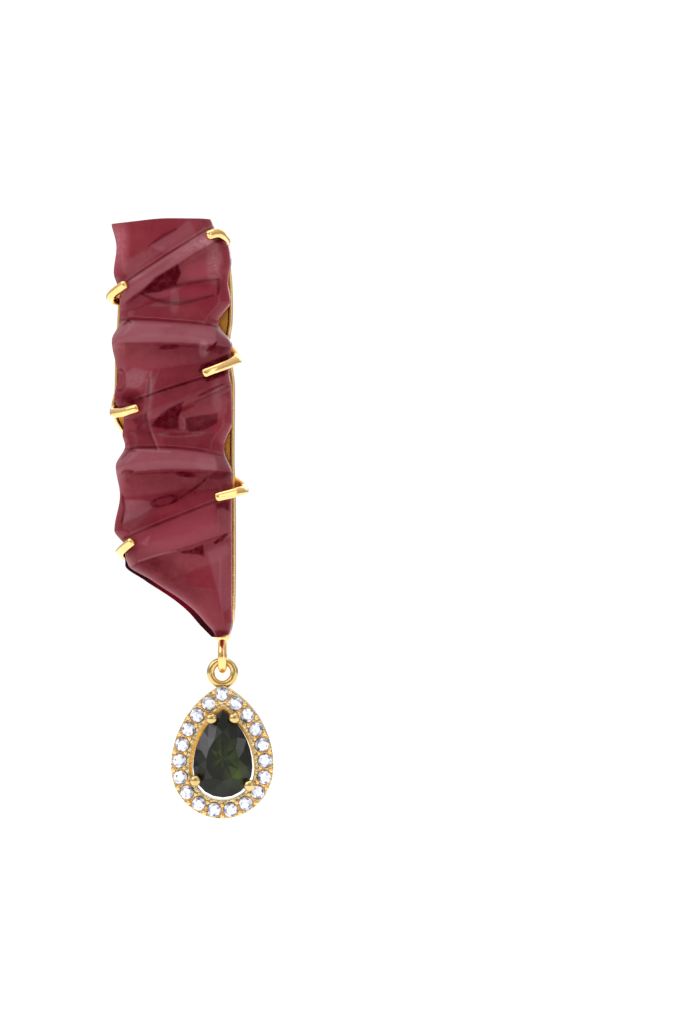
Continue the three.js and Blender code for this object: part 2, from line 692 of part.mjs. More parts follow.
// The small grains of metal between neighbouring stones, on both sides of the row.
function makeGrains(places) {
  const grains = [];
  const centre = new THREE.Vector3(bailX, 0, haloZ + 1);
  places.forEach((place, i) => {
    const next = places[(i + 1) % places.length];
    const middle = place.clone().add(next).multiplyScalar(0.5);
    const away = new THREE.Vector3(next.z - place.z, 0, place.x - next.x).normalize();
    if (away.dot(middle.clone().sub(centre)) < 0) away.negate();
    const apart = place.distanceTo(next) / 2;
    const reach = Math.sqrt((accentDiameter / 2 + seatGap + grainDiameter / 2) ** 2 - apart ** 2);
    for (const side of [1, -1]) {
      const grain = new THREE.CylinderGeometry(grainDiameter / 2, grainDiameter * 0.32, haloThickness / 2 + grainRise, 6);
      grain.translate(0, (grainRise - haloThickness / 2) / 2, 0).rotateX(Math.PI);
      const spot = middle.clone().addScaledVector(away, side * Math.max(reach, 0.36));
      grains.push(solidOf(grain.translate(spot.x, haloFront, spot.z)));
    }
  });
  return grains;
}

// One prong: a round post inside the frame's opening that ends in a bead over the pear stone.
function makeProng(angle) {
  const turn = (angle * Math.PI) / 180;
  const fine = 720;
  const at = (offset) => {
    const outline = pearPoints(offset, fine);
    const direction = new THREE.Vector2(Math.sin(turn), -Math.cos(turn));
    const from = new THREE.Vector2(0, pearMiddle);
    return outline.reduce((best, p) =>
      p.clone().sub(from).normalize().dot(direction) > best.clone().sub(from).normalize().dot(direction) ? p : best,
    );
  };
  const stand = at(-haloBand + prongDiameter * 0.12);
  const bead = at(-haloBand - pearGap + 0.1);
  const beadY = pearDrop.y - pearCrown * 0.62;
  const points = [
    new THREE.Vector3(bailX + stand.x, haloFront + haloThickness * 0.9, haloZ + stand.y),
    new THREE.Vector3(bailX + stand.x, haloFront - 0.15, haloZ + stand.y),
    new THREE.Vector3(bailX + bead.x, beadY, haloZ + bead.y),
  ];
  const circle = Array.from({ length: 8 }, (_, i) => (2 * Math.PI * i) / 8);
  const rings = points.map((point) =>
    circle.map((roll) => {
      const radius = prongDiameter / 2;
      return new THREE.Vector3(point.x - radius * Math.cos(roll), point.y, point.z + radius * Math.sin(roll));
    }),
  );
  const ball = new THREE.SphereGeometry(prongTip / 2, 10, 7).translate(points[2].x, points[2].y, points[2].z);
  return solidOf(loft(rings)).add(solidOf(ball));
}

function makeHaloSetting() {
  const outline = new THREE.Shape(pearPoints(0, 64));
  outline.holes.push(new THREE.Path(pearPoints(-haloBand, 48)));
  const frame = plate(outline, -haloThickness, 0);
  frame.translate(bailX, haloFront, haloZ);
  const ring = new THREE.TorusGeometry(ringRadius, ringWire / 2, 8, 20);
  ring.rotateX(Math.PI / 2).translate(bailX, bailY, ringZ);
  const places = accentPlaces();
  let metal = solidOf(frame).add(solidOf(ring));
  for (const grain of makeGrains(places)) metal = metal.add(grain);
  for (const angle of prongAngles) metal = metal.add(makeProng(angle));
  metal = metal.subtract(solidOf(pearCut(seatGap)));
  for (const place of places) metal = metal.subtract(accentSeat(place));
  return geometryOf(metal);
}

const gold = { color: 0xe8b85c, roughness: 0.2, metalness: 1 };
const carvedRed = { color: 0x7d2440, roughness: 0.12, metalness: 0 };
const darkGreen = { color: 0x1f2a12, roughness: 0.05, metalness: 0 };
const clear = { color: 0xe9ecf4, roughness: 0.03, metalness: 0 };

function named(name, geometry, finish) {
  const mesh = new THREE.Mesh(geometry, new THREE.MeshStandardMaterial(finish));
  mesh.name = name;
  return mesh;
}

const earring = new THREE.Group();
const top = new THREE.Group();
top.add(named("carved_stone", makeCarvedStone(0), carvedRed));
top.add(named("stone_setting", makeStoneSetting(), gold));
const drop = new THREE.Group();
drop.add(named("halo_setting", makeHaloSetting(), gold));
drop.add(named("pear_stone", pearCut(0), darkGreen));
accentPlaces().forEach((place, i) => {
  drop.add(named(`accent_stone_${String(i + 1).padStart(2, "0")}`, accentCut(place), clear));
});
earring.add(top, drop);

export default earring;
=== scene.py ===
# %% [markdown]
# A drop earring, dressed for its portrait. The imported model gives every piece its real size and
# place. This lesson gives each piece its fine form and its finish: a long carved stone, the gold
# that holds it, and a cluster of small stones that hangs below. All of it is made in code, so
# the same script makes the same earring each time.

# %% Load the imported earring
import json
import math

import bpy
import numpy as np
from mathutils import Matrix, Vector


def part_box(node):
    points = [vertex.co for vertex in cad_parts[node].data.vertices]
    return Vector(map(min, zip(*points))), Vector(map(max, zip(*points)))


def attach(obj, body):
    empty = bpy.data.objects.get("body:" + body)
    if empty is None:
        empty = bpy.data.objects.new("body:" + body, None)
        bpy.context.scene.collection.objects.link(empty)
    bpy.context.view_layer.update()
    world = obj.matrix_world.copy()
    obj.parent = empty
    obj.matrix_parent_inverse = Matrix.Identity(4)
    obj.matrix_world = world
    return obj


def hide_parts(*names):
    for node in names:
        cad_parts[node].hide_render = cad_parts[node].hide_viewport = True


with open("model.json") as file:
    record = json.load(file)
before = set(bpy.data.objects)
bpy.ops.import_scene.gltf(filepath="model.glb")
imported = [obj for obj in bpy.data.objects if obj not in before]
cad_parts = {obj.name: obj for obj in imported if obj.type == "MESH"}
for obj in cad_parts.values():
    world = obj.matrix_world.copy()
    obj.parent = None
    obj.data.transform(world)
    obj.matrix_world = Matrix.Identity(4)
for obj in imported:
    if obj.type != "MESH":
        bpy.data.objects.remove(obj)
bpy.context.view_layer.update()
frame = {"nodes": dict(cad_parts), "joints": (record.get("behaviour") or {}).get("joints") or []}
MM = 0.001  # the script thinks in millimetres, and Blender in metres

# %% [markdown]
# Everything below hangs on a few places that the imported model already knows: the box round the
# carved stone, the box round the cluster's frame, and the point that the cluster swings about.
# Reading them here keeps the fine pieces exactly where the plain solids are. Most of what
# follows is drawn from tables, and a second helper gives their columns names.

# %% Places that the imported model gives
stone_low, stone_high = (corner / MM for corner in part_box("carved_stone"))
metal_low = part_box("stone_setting")[0] / MM
halo_low, halo_high = (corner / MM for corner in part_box("halo_setting"))
pear_low, pear_high = (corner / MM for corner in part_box("pear_stone"))
pivot = Vector(frame["joints"][0]["pos_m"]) / MM
stone_width = stone_high.x - stone_low.x
stone_length = stone_high.z - stone_low.z
print(f"carved stone {stone_width:.1f} by {stone_length:.1f} mm, pivot {tuple(round(v, 2) for v in pivot)}")


def place(across, down):
    """The x and z in millimetres of a place given as shares of the carved stone."""
    return stone_low.x + across * stone_width, stone_high.z - down * stone_length


def named_rows(columns, table):
    """Each row as a dictionary under the columns' names. A row may leave out its last columns."""
    return [dict(zip(columns.split(), row)) for row in table]


# %% [markdown]
# The camera comes first. A jewel is photographed with a long lens from straight in front, so
# that nothing near the lens swells. The picture is 682 by 1024 pixels, a pixel is a tenth of a
# millimetre, and the earring stands a little left of the middle.

# %% Camera
PICTURE_WIDE, PICTURE_HIGH = 682, 1024
PIXEL = 0.1
STONE_LEFT_PIXEL, STONE_TOP_PIXEL = 110.6, 219.3
LENS, SENSOR = 120.0, 36.0
SCALE_PLANE = 2.0  # how far in front of the stone's back a pixel has just that size

camera_data = bpy.data.cameras.new("camera")
camera_data.lens = LENS
camera_data.sensor_fit = "VERTICAL"
camera_data.sensor_height = SENSOR
camera = bpy.data.objects.new("camera", camera_data)
bpy.context.scene.collection.objects.link(camera)
camera_far = PICTURE_HIGH * PIXEL * LENS / SENSOR
camera.location = (
    (stone_low.x + (PICTURE_WIDE / 2 - STONE_LEFT_PIXEL) * PIXEL) * MM,
    (stone_high.y - SCALE_PLANE - camera_far) * MM,
    (stone_high.z - (PICTURE_HIGH / 2 - STONE_TOP_PIXEL) * PIXEL) * MM,
)
camera.rotation_euler = (math.pi / 2, 0, 0)
bpy.context.scene.camera = camera
bpy.context.scene.view_settings.view_transform = "Standard"
print("camera", [round(v, 4) for v in camera.location])

# %% [markdown]
# Lights and materials are sums: a base colour, a little noise, a mask that says where a crease
# is. Written as nodes and links that takes a page. A small wrapper lets a socket be added and
# multiplied like a number, so that each finish below reads as the sum that it is.


# %% A socket that can be reckoned with
def plug(tree, slot, value):
    """Sets an input of a node, or links a wire to it."""
    if isinstance(value, Wire):
        tree.links.new(value.socket, slot)
    elif slot.type == "RGBA" and len(value) == 3:
        slot.default_value = (*value, 1.0)
    else:
        slot.default_value = value


class Wire:
    """The output of a node. Plus, minus and times on it add a Math node to its tree."""

    def __init__(self, tree, socket):
        self.tree = tree
        self.socket = socket

    def _math(self, operation, first, second):
        node = self.tree.nodes.new("ShaderNodeMath")
        node.operation = operation
        plug(self.tree, node.inputs[0], first)
        plug(self.tree, node.inputs[1], second)
        return Wire(self.tree, node.outputs[0])

    def __add__(self, other):
        return self._math("ADD", self, other)

    def __sub__(self, other):
        return self._math("SUBTRACT", self, other)

    def __rsub__(self, other):
        return self._math("SUBTRACT", other, self)

    def __mul__(self, other):
        return self._math("MULTIPLY", self, other)

    __radd__ = __add__
    __rmul__ = __mul__

    def kept(self, low=0.0, high=1.0):
        """The value, held between two limits."""
        raised = self._math("MAXIMUM", self, low)
        return raised._math("MINIMUM", raised, high)


class Tree:
    """A node tree with one method for any node."""

    def __init__(self, tree):
        self.tree = tree

    def node(self, kind, output, sockets=None, settings=None):
        """Adds a node of any kind, sets its settings, then its sockets, and returns one output."""
        node = self.tree.nodes.new(kind)
        for key, value in (settings or {}).items():
            setattr(node, key, value)
        for key, value in (sockets or {}).items():
            plug(self.tree, node.inputs[key], value)
        return Wire(self.tree, node.outputs[output]) if node.outputs else None


class Finish(Tree):
    """A material in the making."""

    def __init__(self, name):
        self.material = bpy.data.materials.new(name)
        self.material.use_nodes = True
        super().__init__(self.material.node_tree)
        self.shader = self.tree.nodes["Principled BSDF"]
        self.where = self.node("ShaderNodeTexCoord", "Object")

    def noise(self, size, detail=2.0, roughness=0.5):
        """Soft noise from 0 to 1, whose blotches are about that many millimetres wide."""
        sockets = {"Vector": self.where, "Scale": 1 / (size * MM), "Detail": detail, "Roughness": roughness}
        return self.node("ShaderNodeTexNoise", "Fac", sockets)

    def near(self, middle, reach):
        """1 at a place given in millimetres, and 0 from that many millimetres off."""
        sockets = {0: self.where, 1: middle * MM}
        away = self.node("ShaderNodeVectorMath", "Value", sockets, {"operation": "DISTANCE"})
        return (1.0 - away * (1 / (reach * MM))).kept()

    def painted(self, name):
        """A number that was painted on the mesh."""
        return self.node("ShaderNodeAttribute", "Fac", settings={"attribute_name": name})

    def mixed(self, share, first, second):
        """The first colour where the share is 0 and the second where it is 1."""
        return self.node("ShaderNodeMix", 2, {0: share, 6: first, 7: second}, {"data_type": "RGBA"})

    def bumped(self, height, depth):
        """A bumped normal whose full height is that many millimetres."""
        return self.node("ShaderNodeBump", 0, {"Height": height, "Distance": depth * MM})

    def set(self, **inputs):
        """Sets or links inputs of the shader, with spaces as underscores, and returns the material."""
        for key, value in inputs.items():
            plug(self.tree, self.shader.inputs[key.replace("_", " ")], value)
        return self.material

    def covered(self, share, sockets):
        """A second shader, which shows where the share is 1."""
        other = self.node("ShaderNodeBsdfPrincipled", 0, sockets)
        shaders = {0: share, 1: Wire(self.tree, self.shader.outputs[0]), 2: other}
        both = self.node("ShaderNodeMixShader", 0, shaders)
        plug(self.tree, self.tree.nodes["Material Output"].inputs["Surface"], both)


# %% [markdown]
# Polished gold and polished stone show the room more than they show themselves. The room here is
# a white tent with dimmer walls: the camera sees plain white behind the jewel, and the polish
# sees a soft run from bright ceiling to dim front, which is what draws the edges.

# %% Room and lights
# Each row dims the tent along one axis: from and to are places from -1 to 1 along it.
DIMMING = named_rows("axis from to first last", [
    ("Z", -0.7, 0.8, 0.22, 0.95),
    ("Y", -1.0, -0.5, 0.62, 1.0),
    ("X", 0.3, 1.0, 1.0, 0.8),
])
BACKDROP = 1.05


def make_room():
    """A world that is white to the camera, and a soft gradient to everything that reflects it."""
    world = bpy.data.worlds.new("white_tent")
    bpy.context.scene.world = world
    world.use_nodes = True
    world.node_tree.nodes.clear()
    room = Tree(world.node_tree)
    where = room.node("ShaderNodeTexCoord", "Generated")
    strength = 1.0
    for row in DIMMING:
        along = room.node("ShaderNodeSeparateXYZ", row["axis"], {0: where})
        limits = {"Value": along, "From Min": row["from"], "From Max": row["to"]}
        limits |= {"To Min": row["first"], "To Max": row["last"]}
        strength = room.node("ShaderNodeMapRange", 0, limits, {"interpolation_type": "SMOOTHSTEP"}) * strength
    soft = room.node("ShaderNodeBackground", 0, {"Color": (1, 1, 1), "Strength": strength})
    white = room.node("ShaderNodeBackground", 0, {"Color": (1, 1, 1), "Strength": BACKDROP})
    camera_ray = room.node("ShaderNodeLightPath", "Is Camera Ray")
    both = room.node("ShaderNodeMixShader", 0, {0: camera_ray, 1: soft, 2: white})
    room.node("ShaderNodeOutputWorld", 0, {"Surface": both})


# The lights face a point this many millimetres below the stone's top, and their places are in
# metres from it. glow is a soft box's own brightness, where 1 is the white of the background.
LIT_POINT = 25
LIGHTS = named_rows("name at wide high glow", [
    ("key", (-0.4, -0.24, 0.34), 0.46, 0.42, 1.55),
    ("fill", (0.4, -0.34, 0.05), 0.14, 0.46, 1.3),
    ("top", (0.02, -0.05, 0.42), 0.36, 0.3, 1.6),
    ("back", (0.1, 0.45, 0.2), 0.5, 0.3, 1.2),
])


def make_light(name, at, wide, high, glow):
    """A rectangular soft box that faces the middle of the earring."""
    data = bpy.data.lights.new(name, "AREA")
    data.shape = "RECTANGLE"
    data.size, data.size_y, data.energy = wide, high, glow * math.pi * wide * high
    lamp = bpy.data.objects.new(name, data)
    middle = Vector((0, 0, (stone_high.z - LIT_POINT) * MM))
    lamp.location = middle + Vector(at)
    lamp.rotation_euler = (middle - lamp.location).to_track_quat("-Z", "Y").to_euler()
    bpy.context.scene.collection.objects.link(lamp)


make_room()
for light in LIGHTS:
    make_light(**light)

# %% [markdown]
# The floor is a plain pale disc well below the earring, which hangs free as it would on an ear.

# %% Floor
FLOOR_DROP, FLOOR_RADIUS = 45.0, 900.0
FLOOR_LOOK = {"Base Color": (0.93, 0.93, 0.93), "Roughness": 0.8}
FLOOR_LOOK |= {"Emission Color": (1, 1, 1), "Emission Strength": 0.5}
bpy.ops.mesh.primitive_circle_add(
    vertices=96, radius=FLOOR_RADIUS * MM, fill_type="NGON", location=(0, 0, (halo_low.z - FLOOR_DROP) * MM)
)
floor = bpy.context.object
floor.name = "floor"
floor_finish = bpy.data.materials.new("pale_floor")
floor_finish.use_nodes = True
for key, value in FLOOR_LOOK.items():
    plug(floor_finish.node_tree, floor_finish.node_tree.nodes["Principled BSDF"].inputs[key], value)
floor.data.materials.append(floor_finish)

# %% [markdown]
# Polished yellow gold is a metal with a warm base colour. Real polish is never even: the wheel
# leaves faint waves. So the roughness wanders a little, the normal carries a very low wave, and
# the colour shifts between two golds. The claws are a redder, rougher gold near the tray.


# %% Gold
def make_gold(name, colour, deep, rough, blotch=1.6, wave=0.05):
    """Polished gold that wanders between two colours, in blotches and waves of the given millimetres."""
    finish = Finish(name)
    cloud = finish.noise(blotch, 3.0)
    fine = finish.noise(0.18, 2.0)
    return finish.set(
        Metallic=1.0,
        Base_Color=finish.mixed((cloud * 1.6 - 0.3).kept(), colour, deep),
        Roughness=(cloud * 0.08 + fine * 0.06 + rough).kept(0.02, 1.0),
        Normal=finish.bumped(cloud * 0.7 + fine * 0.08, wave),
    )


gold = make_gold("polished_gold", (0.95, 0.62, 0.28), (0.86, 0.50, 0.17), 0.09)
# The warmer gold is painted shade and painted reflection, for the tray's floor and the rail.
warm_gold = make_gold("inner_gold", (0.90, 0.47, 0.11), (0.78, 0.36, 0.06), 0.14)
root_gold = make_gold("claw_root_gold", (0.92, 0.56, 0.20), (0.80, 0.42, 0.12), 0.36)
drop_gold = make_gold("cluster_gold", (0.70, 0.53, 0.25), (0.52, 0.36, 0.13), 0.11)
pave_gold = make_gold("bright_cut_gold", (0.76, 0.64, 0.38), (0.42, 0.29, 0.10), 0.08, 0.4, 0.10)

# %% [markdown]
# The carved stone is a dark wine-red crystal. Its colour comes from three things that the carver
# left: folds that catch the ceiling and look mauve, hollows that swallow light, and thin places
# that glow rose. The mesh below carries a painted number for each, so the mauve is a painted
# reflection, the dark a painted shade and the rose a painted glow. A fourth number marks frosted
# spots, which are rougher and also painted pale as a highlight. The material turns them into
# colour, with clouds and specks as natural crystal has. Its shadows are a second shader, too dull
# to mirror the room.

# %% Stone, pear stone and small stones
# The mauve is a painted reflection of the ceiling, the rose a painted glow of light through the crystal, the
# frost colour a frosted texture painted pale as a highlight, and the shadow colours painted shade.
DEEP_WINE = (0.160, 0.008, 0.020)
WINE = (0.215, 0.028, 0.038)
SHEEN_MAUVE = (0.248, 0.070, 0.090)
GLOW_ROSE = (0.285, 0.034, 0.055)
FROST_AND_GLINT = (0.430, 0.190, 0.215)
SHADOW_RED, SHADOW_BLACK = (0.082, 0.003, 0.008), (0.045, 0.001, 0.004)
# The stone's sides are painted dark as shade, and almost black as shadow at both ends of the slant.
SIDE_SHADE_DARK, SIDE_SHADE_LIGHT, SIDE_SHADOW_BLACK = (0.040, 0.001, 0.004), (0.140, 0.004, 0.014), (0.022, 0.003, 0.004)
SHADOW_ENDS, SHADOW_REACH = [(0.17, 0.835), (0.86, 0.995)], 4.2
# Where the pear stone glows: a place off its middle and a reach, in millimetres, and how much.
PEAR_GLOWS = [((0.3, 0, 0.1), 2.1, 0.65), ((1.6, 0, -2.2), 1.7, 1.0)]


def make_carved_finish():
    """Glossy, cloudy red crystal, coloured by painted sheen, glow and shade, and matt in its shadows."""
    finish = Finish("carved_crystal")
    cloud = finish.noise(3.4, 3.0, 0.55)
    wisp = finish.noise(0.9, 4.0, 0.6)
    speck = finish.noise(0.45, 5.0, 0.75)
    # The painted numbers are painted light: sheen, glow, highlights on frosted spots, and shade.
    pale = (finish.painted("pale") * (wisp * 0.5 + 0.75)).kept()
    rosy = (finish.painted("rosy") * (wisp * 0.5 + 0.75)).kept()
    frost = (finish.painted("frost") * (speck * 2.0 - 0.5).kept()).kept()
    dark = (finish.painted("dark") * (wisp * 0.7 + speck * 0.5 + 0.4)).kept()
    body = finish.mixed((cloud * 1.8 - 0.4).kept(), DEEP_WINE, WINE)
    body = finish.mixed((wisp * 1.8 - 0.75).kept(0.0, 0.4), body, DEEP_WINE)
    body = finish.mixed(rosy, body, GLOW_ROSE)
    body = finish.mixed(pale, body, SHEEN_MAUVE)
    body = finish.mixed(frost, body, FROST_AND_GLINT)
    finish.set(
        Base_Color=body,
        Roughness=(wisp * 0.12 + frost * 0.25 + 0.10).kept(),
        Normal=finish.bumped(cloud * 0.8 + wisp * 0.2, 0.10),
        IOR=1.5,
        Specular_IOR_Level=0.2,
    )
    shadow = finish.mixed((wisp * 1.6 - 0.3).kept(), SHADOW_RED, SHADOW_BLACK)
    finish.covered(dark, {"Base Color": shadow, "Roughness": 0.6, "Specular IOR Level": 0.0})
    return finish.material


def make_wall_finish():
    """The stone's sides: dull and dark as painted shade, almost black as painted shadow at the slant's ends.
    """
    finish = Finish("shaded_side_crystal")
    cloud = finish.noise(0.8, 3.0)
    body = finish.mixed(cloud, SIDE_SHADE_DARK, SIDE_SHADE_LIGHT)
    # Painted shadow at both ends of the slanting side.
    for across, down in SHADOW_ENDS:
        x, z = place(across, down)
        near_end = finish.near(Vector((x, stone_high.y - 1.0, z)), SHADOW_REACH)
        body = finish.mixed((near_end * 1.8).kept(), body, SIDE_SHADOW_BLACK)
    return finish.set(
        Base_Color=body,
        Roughness=(cloud * 0.2 + 0.35).kept(),
        Normal=finish.bumped(cloud, 0.04),
        Specular_IOR_Level=0.0,
    )


def make_pear_finish(middle):
    """A very dark olive crystal that glows green where light comes back through it."""
    finish = Finish("dark_olive_crystal")
    cloud = finish.noise(0.9, 3.0)
    glow = sum(finish.near(middle + Vector(at), reach) * amount for at, reach, amount in PEAR_GLOWS)
    # The grey facets are painted reflections, and the olive glow painted light come back through the crystal.
    body = finish.mixed(finish.painted("tone").kept(), (0.008, 0.009, 0.005), (0.105, 0.100, 0.105))
    body = finish.mixed((glow * finish.painted("glow")).kept(), body, (0.052, 0.080, 0.010))
    return finish.set(
        Base_Color=body,
        Roughness=(cloud * 0.06 + 0.04).kept(),
        Normal=finish.bumped(cloud, 0.006),
        IOR=1.5,
        Specular_IOR_Level=0.19,
    )


def make_clear_finish():
    """Clear brilliant stones: each facet throws back its own share of the white room."""
    finish = Finish("clear_brilliant")
    speck = finish.noise(0.3, 2.0)
    tone = finish.painted("tone") * 0.9 + speck * 1.6 - 0.85
    body = finish.mixed((tone * 2.0 + 0.3).kept(), (0.05, 0.06, 0.10), (0.48, 0.53, 0.66))
    body = finish.mixed((tone * 2.2 - 0.6).kept(), body, (0.95, 0.95, 0.99))
    return finish.set(
        Base_Color=body,
        Roughness=(speck * 0.06 + 0.04).kept(),
        Normal=finish.bumped(speck, 0.01),
        IOR=1.9,
    )


carved_finish = make_carved_finish()
wall_finish = make_wall_finish()
pear_glow_middle = Vector(((pear_low.x + pear_high.x) / 2, pear_low.y + 0.4, (pear_low.z + pear_high.z) / 2))
pear_finish = make_pear_finish(pear_glow_middle)
clear_finish = make_clear_finish()

# %% [markdown]
# Each finished piece is one mesh at the origin with its place in its points, rides on its body
# and hides the plain solid that it stands for. One helper makes the mesh. It also marks edges
# sharper than a given angle, so that a crisp carved line and a round wire can share one mesh. A
# second helper hands the piece over, and a third does both for gold, which always stands for one
# of the two settings.


# %% A piece from points and faces
SETTINGS = {"top": "stone_setting", "drop": "halo_setting"}


def make_mesh(name, points, faces, finish, sharp, painted=None, second=None):
    """A mesh from points in millimetres. With no angle for sharp edges, every face stays flat."""
    mesh = bpy.data.meshes.new(name)
    mesh.from_pydata([tuple(p) for p in np.asarray(points, float) * MM], [], faces)
    for key, values in (painted or {}).items():
        domain = "POINT" if len(values) == len(mesh.vertices) else "FACE"
        layer = mesh.attributes.new(key, "FLOAT", domain)
        layer.data.foreach_set("value", np.asarray(values, np.float32))
    mesh.materials.append(finish)
    if second:
        mesh.materials.append(second[0])
        mesh.polygons.foreach_set("material_index", second[1])
    if sharp is not None:
        mesh.shade_smooth()
        mesh.set_sharp_from_angle(angle=math.radians(sharp))
    return mesh


def hand_over(name, mesh, body, stands_for):
    """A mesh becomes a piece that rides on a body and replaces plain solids."""
    piece = bpy.data.objects.new(name, mesh)
    bpy.context.scene.collection.objects.link(piece)
    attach(piece, body)
    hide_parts(*stands_for)
    print(f"{piece.name}: {len(piece.data.polygons)} faces")


def make_gold_piece(name, body, points, faces, finish=gold, sharp=35.0, second=None):
    """A piece of one of the two gold settings."""
    mesh = make_mesh(name, points, faces, finish, sharp, second=second)
    hand_over(name, mesh, body, [SETTINGS[body]])


def facing_out(points, faces):
    """The same faces, turned over if they enclose a negative volume."""
    points = np.asarray(points, float)
    fans = np.array([(face[0], face[i], face[i + 1]) for face in faces for i in range(1, len(face) - 1)])
    a, b, c = (points[fans[:, k]] for k in range(3))
    volume = np.einsum("ij,ij->i", a, np.cross(b, c)).sum()
    return faces if volume > 0 else [tuple(reversed(face)) for face in faces]


def lofted(rings, endless=False):
    """Points and faces of a body through rings of equal length, with closed ends or without end."""
    rings = np.asarray(rings, float)
    count, around = rings.shape[:2]
    faces = []
    for row in range(count if endless else count - 1):
        here, there = row * around, (row + 1) % count * around
        for i in range(around):
            n = (i + 1) % around
            faces.append((here + i, here + n, there + n, there + i))
    if not endless:
        faces.append(tuple(reversed(range(around))))
        faces.append(tuple(range((count - 1) * around, count * around)))
    points = rings.reshape(-1, 3)
    return points, facing_out(points, faces)


# %% [markdown]
# The carved stone is a slab with a flat back and a front that is all folds. A sculpting brush
# would do it by eye. Here it is a height for each place instead: two tables give the outline,
# one gives the bands that stand proud, and the rest is sums. The same tables can then also
# paint each place, so colour and form never part.

# %% The stone's outline and its folds
# Each pair is a place down the stone and the edge's place across it, in shares.
LEFT_EDGE = [
    (0.0, 0.0), (0.065, 0.04), (0.124, 0.018), (0.17, 0.061), (0.242, 0.071), (0.29, 0.002),
    (0.376, 0.053), (0.428, 0.022), (0.481, 0.102), (0.514, 0.09), (0.541, 0.111), (0.591, 0.034),
    (0.66, 0.069), (0.744, 0.023), (0.785, 0.112), (0.828, 0.112), (0.864, 0.27), (0.912, 0.518),
    (0.941, 0.635), (0.971, 0.725), (1.0, 0.822),
]
RIGHT_EDGE = [
    (0.0, 0.827), (0.02, 0.858), (0.046, 0.925), (0.066, 0.975), (0.098, 0.987), (0.148, 0.965),
    (0.194, 0.986), (0.246, 0.889), (0.301, 0.995), (0.361, 0.977), (0.404, 0.995), (0.481, 1.0),
    (0.546, 0.934), (0.612, 1.0), (0.684, 0.996), (0.912, 0.996), (0.964, 1.0), (0.993, 0.979),
    (1.0, 0.93),
]
# A band stands proud between its top line and its foot line. Each line has its place at the
# stone's left side, middle and right side. Heights are shares of the tallest fold. Pale says how
# much painted sheen, a reflection of the ceiling, the band takes, and crease how much painted
# shade the crease above it takes.
BANDS = named_rows("top foot heights pale crease", [
    ((0.178, 0.087, -0.005), (0.226, 0.122, 0.034), (0.8, 1.0, 0.85), 0.62, 0.6),
    ((0.243, 0.251, 0.262), (0.299, 0.297, 0.308), (0.9, 1.0, 0.75), 0.8, 0.55),
    ((0.458, 0.409, 0.368), (0.515, 0.461, 0.396), (-0.35, 0.85, 0.95), 0.12, 0.6),
    ((0.556, 0.552, 0.572), (0.613, 0.598, 0.606), (0.9, 1.0, 0.8), 0.72, 0.5),
    ((0.78, 0.7215, 0.664), (0.842, 0.794, 0.747), (0.85, 0.85, 0.6), 0.2, 0.62),
])
TALLEST_FOLD = 1.15
# Beside a band the surface falls off in two slopes: each has a share and a reach in millimetres.
SLOPES_ABOVE, SLOPES_BELOW = ((0.45, 0.5), (0.55, 2.6)), ((0.4, 0.6), (0.6, 2.8))
CREST_FLATNESS = 0.84  # how high the band's edges stand, as a share of its crest
FRONT_RIM, EDGE_RISE, EDGE_ROUND, DOMING = 1.9, 0.75, 1.5, 0.75
WALL_LEAN, FOOT_LEAN, BACK_BEVEL, TOP_CORNER_DROP = 0.12, 0.72, 0.4, 0.45


def smooth(value):
    """An even ramp from 0 to 1."""
    value = np.clip(value, 0, 1)
    return value * value * (3 - 2 * value)


def edge_at(table, down):
    """A smooth curve through an edge table that never overshoots a bulge or a waist."""
    knots, values = np.array(table).T
    step = np.diff(knots)
    chord = np.diff(values) / step
    slope = np.concatenate([chord[:1], np.zeros(len(knots) - 2), chord[-1:]])
    same = chord[:-1] * chord[1:] > 0
    total = np.where(same, chord[:-1] + chord[1:], 1)
    slope[1:-1] = np.where(same, 2 * chord[:-1] * chord[1:] / total, 0)
    i = np.clip(np.searchsorted(knots, down, side="right") - 1, 0, len(knots) - 2)
    t = np.clip((down - knots[i]) / step[i], 0, 1)
    return (
        (2 * t**3 - 3 * t**2 + 1) * values[i]
        + (t**3 - 2 * t**2 + t) * step[i] * slope[i]
        + (3 * t**2 - 2 * t**3) * values[i + 1]
        + (t**3 - t**2) * step[i] * slope[i + 1]
    )


def across_three(three, across):
    """The parabola through values at the stone's left side, middle and right side."""
    left, middle, right = three
    bend = 2 * (left + right - 2 * middle)
    return left + across * (right - left - bend) + across**2 * bend


def band_profile(band, across, down):
    """How high a band stands at a place, from 0 to 1 times its height, and how far inside it that is."""
    top = across_three(band["top"], across)
    foot = across_three(band["foot"], across)
    inside = np.clip((down - top) / (foot - top), 0, 1)
    crest = CREST_FLATNESS + (1 - CREST_FLATNESS) * np.sin(np.pi * inside)
    above = (top - down) * stone_length
    below = (down - foot) * stone_length
    slope_above = sum(share * smooth(1 - above / reach) for share, reach in SLOPES_ABOVE)
    slope_below = sum(share * smooth(1 - below / reach) for share, reach in SLOPES_BELOW)
    height = np.clip(across_three(band["heights"], across), 0, 2)
    profile = height * np.where(above > 0, CREST_FLATNESS * slope_above, crest)
    return np.where(below > 0, height * CREST_FLATNESS * slope_below, profile), inside, above, below, height
